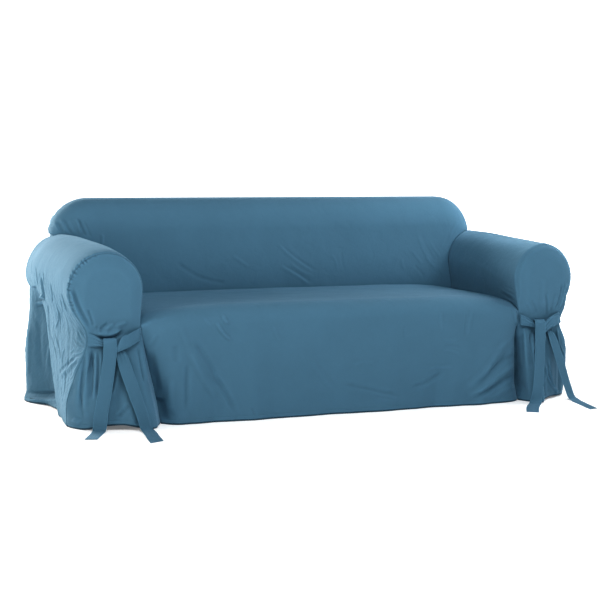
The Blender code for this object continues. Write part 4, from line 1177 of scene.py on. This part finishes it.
def cotton(name, colour):
    """Plain-weave cotton, piece-dyed dusty blue and washed: two threads to the millimetre each
    way, slightly uneven in thickness, with a soft dry nap and a stitched hem."""
    material = bpy.data.materials.new(name)
    material.use_nodes = True
    tree = material.node_tree
    shader = tree.nodes["Principled BSDF"]
    cut = add(tree, "UVMap", {"uv_map": "cut"})
    flat = add(tree, "SeparateXYZ", in0=cut)
    # threads: one warp and one weft thread to each half millimetre, with slubs, which are thicker
    # stretches of thread 1 to 3 cm long
    waves, slubs = [], []
    for way, scale in zip(flat.outputs, (SLUB_SCALE, (*SLUB_SCALE[1::-1], 1.0))):
        turn = add(tree, "Math", TIMES, in0=way, in1=2.0 * math.pi / WEAVE_REPEAT)
        waves.append(add(tree, "Math", SINE, in0=turn))
        stretch = add(tree, "Mapping", in0=cut, Scale=scale)
        slubs.append(add(tree, "TexNoise", PLANE, Vector=stretch, Scale=1.0, Detail=1.0))
    weave = add(tree, "Math", TIMES, in0=waves[0], in1=waves[1])
    weave = add(tree, "Math", TIMES, in0=weave, in1=0.35)
    slub = add(tree, "Math", PLUS, in0=slubs[0], in1=slubs[1])
    threads = add(tree, "Math", PLUS, in0=weave, in1=slub)
    # washed cloth that isn't ironed: soft rumples of 2 to 5 cm, and finer crumples of about 1 cm
    rumple = add(tree, "TexNoise", PLANE, Vector=cut, Scale=RUMPLE_SCALE, Detail=3.0, Roughness=0.45,
                 Distortion=0.6)
    crumple = add(tree, "TexNoise", PLANE, Vector=cut, Scale=CRUMPLE_SCALE, Detail=2.0, Roughness=0.5,
                  Distortion=0.8)
    # the seam's valley, and the hem's line of stitches
    seam = add(tree, "Attribute", {"attribute_name": "from_seam"}).outputs["Fac"]
    hem = add(tree, "Attribute", {"attribute_name": "from_hem"}).outputs["Fac"]
    valley = add(tree, "MapRange", SOFT, Value=seam, From_Min=0.0, From_Max=SEAM_VALLEY)
    line = add(tree, "Math", MINUS, in0=hem, in1=STITCH_LINE)
    line = add(tree, "Math", SIZE, in0=line)
    stitched = add(tree, "MapRange", SOFT, Value=line, From_Min=0.0, From_Max=STITCH_WIDTH)
    turn = add(tree, "Math", TIMES, in0=flat.outputs[0], in1=2.0 * math.pi / STITCH_LENGTH)
    dash = add(tree, "Math", SINE, in0=turn)
    dash = add(tree, "Math", TIMES, in0=dash, in1=0.3)
    on_line = add(tree, "Math", MINUS, in0=1.0, in1=stitched)
    dash = add(tree, "Math", TIMES, in0=on_line, in1=dash)
    edges = add(tree, "Math", PLUS, in0=valley, in1=stitched)
    edges = add(tree, "Math", PLUS, in0=edges, in1=dash)
    below = {}
    for height, strength, depth in ((rumple, 0.55, RUMPLE_DEPTH), (crumple, 0.5, CRUMPLE_DEPTH),
                                    (edges, 0.6, EDGE_DEPTH), (threads, 0.35, THREAD_DEPTH)):
        relief = add(tree, "Bump", Strength=strength, Distance=depth, Height=height, **below)
        below = {"Normal": relief}
    # colour: the dye is a little uneven, and lighter on raised threads
    patch = add(tree, "TexNoise", PLANE, Vector=cut, Scale=PATCH_SCALE, Detail=4.0, Roughness=0.6)
    patch = add(tree, "Math", TIMES, in0=patch, in1=0.10)
    raised = add(tree, "Math", TIMES, in0=threads, in1=0.05)
    tone = add(tree, "Math", PLUS, in0=patch, in1=raised)
    tone = add(tree, "Math", PLUS, in0=tone, in1=0.90)
    # painted light: the ridges of folds are painted paler and their valleys darker, the hem's edge is
    # painted darker as the shadow at it, and a narrow band along each seam is painted darker as the shade
    # in its valley: how much is set to come near the photograph's contrast
    bend = add(tree, "Attribute", {"attribute_name": "bend"}).outputs["Fac"]
    # painted highlight on the ridges of folds and painted shade in their valleys
    painted_fold_light = add(tree, "MapRange", Value=bend, From_Min=-0.7, From_Max=0.9, To_Min=0.78, To_Max=1.24)
    # painted shadow: the cloth is darker, down to 35 %, within 10 mm of the hem's edge
    painted_hem_shadow = add(tree, "MapRange", SOFT, Value=hem, From_Min=0.004, From_Max=0.010, To_Min=0.35,
                 To_Max=1.0)
    # painted shade: the cloth is darker by up to 18 % within 5 mm of a seam
    painted_seam_shade = add(tree, "Math", TIMES, in0=valley, in1=0.18)
    painted_seam_shade = add(tree, "Math", PLUS, in0=painted_seam_shade, in1=0.82)
    for share in (painted_fold_light, painted_hem_shadow, painted_seam_shade):
        tone = add(tree, "Math", TIMES, in0=tone, in1=share)
    # base colour: the dye's own colour and unevenness, with the painted fold light, hem shadow and seam
    # shade in it
    dyed = add(tree, "VectorMath", {"operation": "SCALE"}, in0=linear(colour)[:3], Scale=tone)
    tree.links.new(dyed.outputs[0], shader.inputs["Base Color"])
    tree.links.new(relief.outputs[0], shader.inputs["Normal"])
    shader.inputs["Roughness"].default_value = 0.88
    shader.inputs["Specular IOR Level"].default_value = 0.16
    shader.inputs["Sheen Weight"].default_value = 0.40
    shader.inputs["Sheen Roughness"].default_value = 0.45
    shader.inputs["Sheen Tint"].default_value = linear("#9cc3dd")
    return material


# Ties

def tie_sheet(name, stations, around):
    """A flat tie: a narrow tube of doubled cloth, carried along its middle line."""
    rows = TIES[name]
    run = np.hypot(np.hypot(np.diff(rows["x"]), np.diff(rows["depth"])), np.diff(rows["height"]))
    key = np.concatenate([[0.0], np.cumsum(run)])
    at = np.linspace(0.0, key[-1], stations)
    value = {k: between(at, key, rows[k][:, None]) for k in rows}
    middle = np.stack([value["x"], value["depth"], value["height"]], axis=1)
    along = np.gradient(middle, axis=0)
    turn, swing = np.radians(value["turn"]), np.radians(value["swing"])
    wide = np.stack([np.sin(turn) * np.cos(swing), -np.sin(turn) * np.sin(swing), np.cos(turn)], 1)
    normal = np.cross(along, wide)
    normal /= np.linalg.norm(normal, axis=1)[:, None]
    angle = np.linspace(0.0, 2.0 * math.pi, around + 1)
    flat = np.sign(np.cos(angle)) * np.abs(np.cos(angle)) ** 0.8
    thick = np.sign(np.sin(angle)) * np.abs(np.sin(angle)) ** 0.6
    grid = (middle[:, None, :]
            + wide[:, None, :] * (value["width"][:, None] / 2.0 * flat[None, :])[:, :, None]
            + normal[:, None, :] * (TIE_THICKNESS / 2.0 * thick)[None, :, None])
    # where the knot squeezes the tie narrower, it lies in lengthwise pleats
    squeezed = smooth((0.056 - value["width"]) / 0.022)
    pleats = TIE_PLEAT * squeezed[:, None] * (np.cos(3.0 * math.pi * flat) * (1.0 - flat ** 2))[None, :]
    grid = grid + normal[:, None, :] * pleats[:, :, None]
    points, faces = woven(grid)
    fan = np.arange(around - 2)
    cap = np.stack([0 * fan, fan + 1, fan + 2], 1)
    faces = np.concatenate([faces, cap[:, ::-1], cap + (stations - 1) * (around + 1)])
    cut = np.stack([np.broadcast_to(value["width"][:, None] / 2.0 * flat[None, :], (stations, around + 1)),
                    np.broadcast_to(at[:, None], (stations, around + 1))], 2).reshape(-1, 2)
    edge = np.abs(value["width"][:, None] / 2.0 * (1.0 - np.abs(flat[None, :]))).ravel()
    seam = np.full(len(points), 0.05)
    made = Sheet(name, points, faces, cut, middle.mean(0), seam, edge + (STITCH_LINE - TIE_STITCH))
    return made, key[-1]


# Making the pieces

cover_cotton = cotton("cover_cotton_plain_weave_dyed", "#4d6f83")
tie_cotton = cotton("tie_cotton_plain_weave_dyed", "#4b6d81")

arm_left, left_grid = arm_sheet("left")
arm_right, right_grid = arm_sheet("right")
seat_front, seat_grid = seat_sheet()
front_left, left_hem = arm_front_sheet("left", left_grid)
front_right, right_hem = arm_front_sheet("right", right_grid)
back_inside, back_outside, back_hem = back_sheets(seat_grid, left_grid, right_grid)

for arm, front, round_by, pucker in ((arm_left, front_left, 0.0040, 0.020),
                                     (arm_right, front_right, 0.020, 0.003)):
    stage = STAGES[arm.name.split("_")[1]]
    girth = arm.cut.reshape(len(stage), -1, 2)[:, 0, 1]
    # the arm's cloth is eased into the front seam over the roll, in small gathers
    eased = smooth((girth - 0.02) / 0.06) * (1.0 - smooth((girth - 0.30) / 0.06))
    gathers = wrinkles(girth, 0.0 * girth, 0.012, 0.05, 0.0, 41)
    round_by = round_by * smooth(stage / 0.8) * (1.0 - 0.6 * smooth((stage - 1.8) / 0.4))
    round_seam(arm, front, len(stage), round_by + pucker * eased * gathers)

# height of the cloth's unevenness, size of its spots, and which random spots they are
UNEVENNESS = ((0.0016, 0.13, 3), (0.0005, 0.045, 4))
PUFF = {"left": 0.0030, "right": 0.0012}
for sheet in (arm_left, arm_right, seat_front, front_left, front_right, back_inside, back_outside):
    u, v = sheet.cut.T
    sheet.lift(sum(height * uneven(u, v, size, seed) for height, size, seed in UNEVENNESS))
    if sheet.name in CREASES:
        sheet.lift(creases(CREASES[sheet.name], u, v), CREASE_GRIP)
    sheet.puff(PUFF["right" if sheet.name.endswith("right") else "left"])

DRAWN, PULLED, FINE = 0.0014, 0.0030, 0.0008       # heights of three kinds of wrinkle
BROKEN = 0.012                     # how far the hem is pushed out where it breaks on the floor
PULL_U, PULL_V = -0.03, 0.49       # where the tie pulls from, on an arm's flat cut
for sheet, strength in ((arm_left, 1.0), (arm_right, 0.8)):
    u, v = sheet.cut.T
    hanging = smooth((v - 0.20) / 0.12) * (1.0 - 0.5 * smooth((v - 0.62) / 0.15))
    drawn = wrinkles(u, v, 0.026, 0.16, 0.15, 11) + 0.7 * wrinkles(u, v, 0.050, 0.22, 0.05, 21)
    sheet.lift(DRAWN * strength * hanging * (drawn - 0.4))
    # pulled towards the tie from all round it
    reach, swing = np.hypot(u - PULL_U, v - PULL_V), np.arctan2(v - PULL_V, u - PULL_U)
    pulled = wrinkles(0.10 * swing, reach, 0.016, 0.09, 0.0, 61) - 0.4
    sheet.lift(PULLED * strength * pulled * np.exp(-((reach - 0.10) / 0.09) ** 2))
    fine = wrinkles(u, v, 0.013, 0.04, 0.3, 31) + wrinkles(u, v, 0.017, 0.035, -0.9, 51) - 0.7
    sheet.lift(FINE * strength * smooth((v - 0.20) / 0.10) * fine, FINE_GRIP)
    # the hem breaks on the floor behind the side's fold
    sheet.lift(BROKEN * (smooth((u - 0.40) / 0.04) * smooth((v - 0.775) / 0.05)))

# the right arm's front seam is pressed flat, and hardly shows over the roll: its seam valley and its
# painted seam shade are kept back from it there
for sheet in (arm_right, front_right):
    pressed = smooth((sheet.points[:, 2] - 0.40) / 0.05) * (sheet.points[:, 1] < 0.3)
    sheet.seam = sheet.seam + 0.010 * pressed

for sheet, wide in ((arm_left, len(ALONG)), (arm_right, len(ALONG)), (seat_front, len(ACROSS))):
    count = len(sheet.points)
    sheet.turn_hem(list(range(count - wide, count)))
for sheet, line in ((front_left, left_hem), (front_right, right_hem), (back_outside, back_hem)):
    sheet.turn_hem(line)

# the cuts: width and length before sewing, what each lies on, and its area
for sheet, flat, under, area in ((arm_left, (0.95, 1.22), "sofa_arm", 0.98),
                                 (arm_right, (0.95, 1.22), "sofa_arm", 0.98),
                                 (seat_front, (1.90, 1.16), "sofa_seat", 2.05),
                                 (front_left, (0.42, 0.71), "sofa_arm", 0.25),
                                 (front_right, (0.42, 0.71), "sofa_arm", 0.25),
                                 (back_inside, (2.06, 0.58), "sofa_back", 1.10),
                                 (back_outside, (2.24, 1.00), "sofa_back", 2.05)):
    piece(sheet, cover_cotton)
TIE_STATIONS, TIE_AROUND = 150, 40
for name in TIES:
    sheet, length = tie_sheet(name, TIE_STATIONS, TIE_AROUND)
    piece(sheet, tie_cotton)


# Studio

WARM, WHITE = "#fff5eb", "#ffffff"
LIGHT_AIM = (0.1, 0.1, 0.35)
CAMERA_PLACE = (-2.785, -6.019, 0.961)
CAMERA_PITCH, CAMERA_YAW = 4.383, 24.3     # degrees, down and to the right
SENSOR_WIDTH, LENS = 36.0, 92.89           # millimetres


def plain(name, colour, roughness):
    material = bpy.data.materials.new(name)
    material.use_nodes = True
    shader = material.node_tree.nodes["Principled BSDF"]
    shader.inputs["Base Color"].default_value = linear(colour)
    shader.inputs["Roughness"].default_value = roughness
    return material


def studio_floor():
    mesh = bpy.data.meshes.new("studio_floor")
    mesh.from_pydata([(-30, -20, 0), (30, -20, 0), (30, 40, 0), (-30, 40, 0)], [], [(0, 1, 2, 3)])
    white = plain("floor_matt_white", "#f6f6f6", 0.7)
    tree = white.node_tree
    shader = tree.nodes["Principled BSDF"]
    shader.inputs["Emission Color"].default_value = linear(WHITE)
    place = add(tree, "NewGeometry").outputs["Position"]
    away = add(tree, "VectorMath", {"operation": "LENGTH"}, in0=place).outputs["Value"]
    glow = add(tree, "MapRange", SOFT, Value=away, From_Min=1.3, From_Max=3.6, To_Min=0.15, To_Max=1.2)
    tree.links.new(glow.outputs[0], shader.inputs["Emission Strength"])
    mesh.materials.append(white)
    floor = bpy.data.objects.new("studio_floor", mesh)
    bpy.context.scene.collection.objects.link(floor)


def soft_light(name, place, size, power, colour):
    light = bpy.data.lights.new(name, "AREA")
    light.shape, light.size, light.size_y = "RECTANGLE", size, size
    light.energy, light.color = power, linear(colour)[:3]
    lamp = bpy.data.objects.new(name, light)
    lamp.location = place
    lamp.rotation_euler = (Vector(LIGHT_AIM) - Vector(place)).to_track_quat("-Z", "Y").to_euler()
    bpy.context.scene.collection.objects.link(lamp)


def camera():
    lens = bpy.data.cameras.new("camera")
    lens.sensor_width, lens.lens = SENSOR_WIDTH, LENS
    lens.clip_end = 100.0
    eye = bpy.data.objects.new("camera", lens)
    eye.location = CAMERA_PLACE
    eye.rotation_euler = (math.radians(90.0 - CAMERA_PITCH), 0.0, math.radians(-CAMERA_YAW))
    scene = bpy.context.scene
    scene.collection.objects.link(eye)
    scene.camera = eye
    scene.view_settings.view_transform = "Standard"
    scene.view_settings.look = "High Contrast"


def surroundings():
    """A white backdrop all round, of which the camera sees more than reaches the cloth."""
    world = bpy.data.worlds.new("white_backdrop")
    bpy.context.scene.world = world
    world.use_nodes = True
    tree = world.node_tree
    seen = add(tree, "LightPath").outputs["Is Camera Ray"]
    strength = add(tree, "MapRange", Value=seen, To_Min=0.015, To_Max=1.2)
    tree.links.new(strength.outputs[0], tree.nodes["Background"].inputs["Strength"])
    tree.nodes["Background"].inputs["Color"].default_value = linear(WHITE)


studio_floor()
surroundings()
for name, place, size, power, colour in (("rear_left", (-2.6, 4.7, 2.5), 1.8, 340.0, WARM),
                                         ("left", (-5.2, -1.5, 1.1), 1.8, 63.0, WARM),
                                         ("front", (-1.2, -3.4, 4.2), 3.2, 168.0, WHITE),
                                         ("front_right", (2.4, -3.6, 3.5), 1.8, 20.0, WHITE),
                                         ("right_low", (3.5, -2.5, 1.0), 1.5, 9.0, WHITE),
                                         ("right_near", (1.75, 0.0, 1.55), 0.7, 16.0, WHITE),
                                         ("rear_right", (2.5, 1.9, 2.3), 0.9, 14.0, WARM)):
    soft_light(name, place, size, power, colour)
camera()
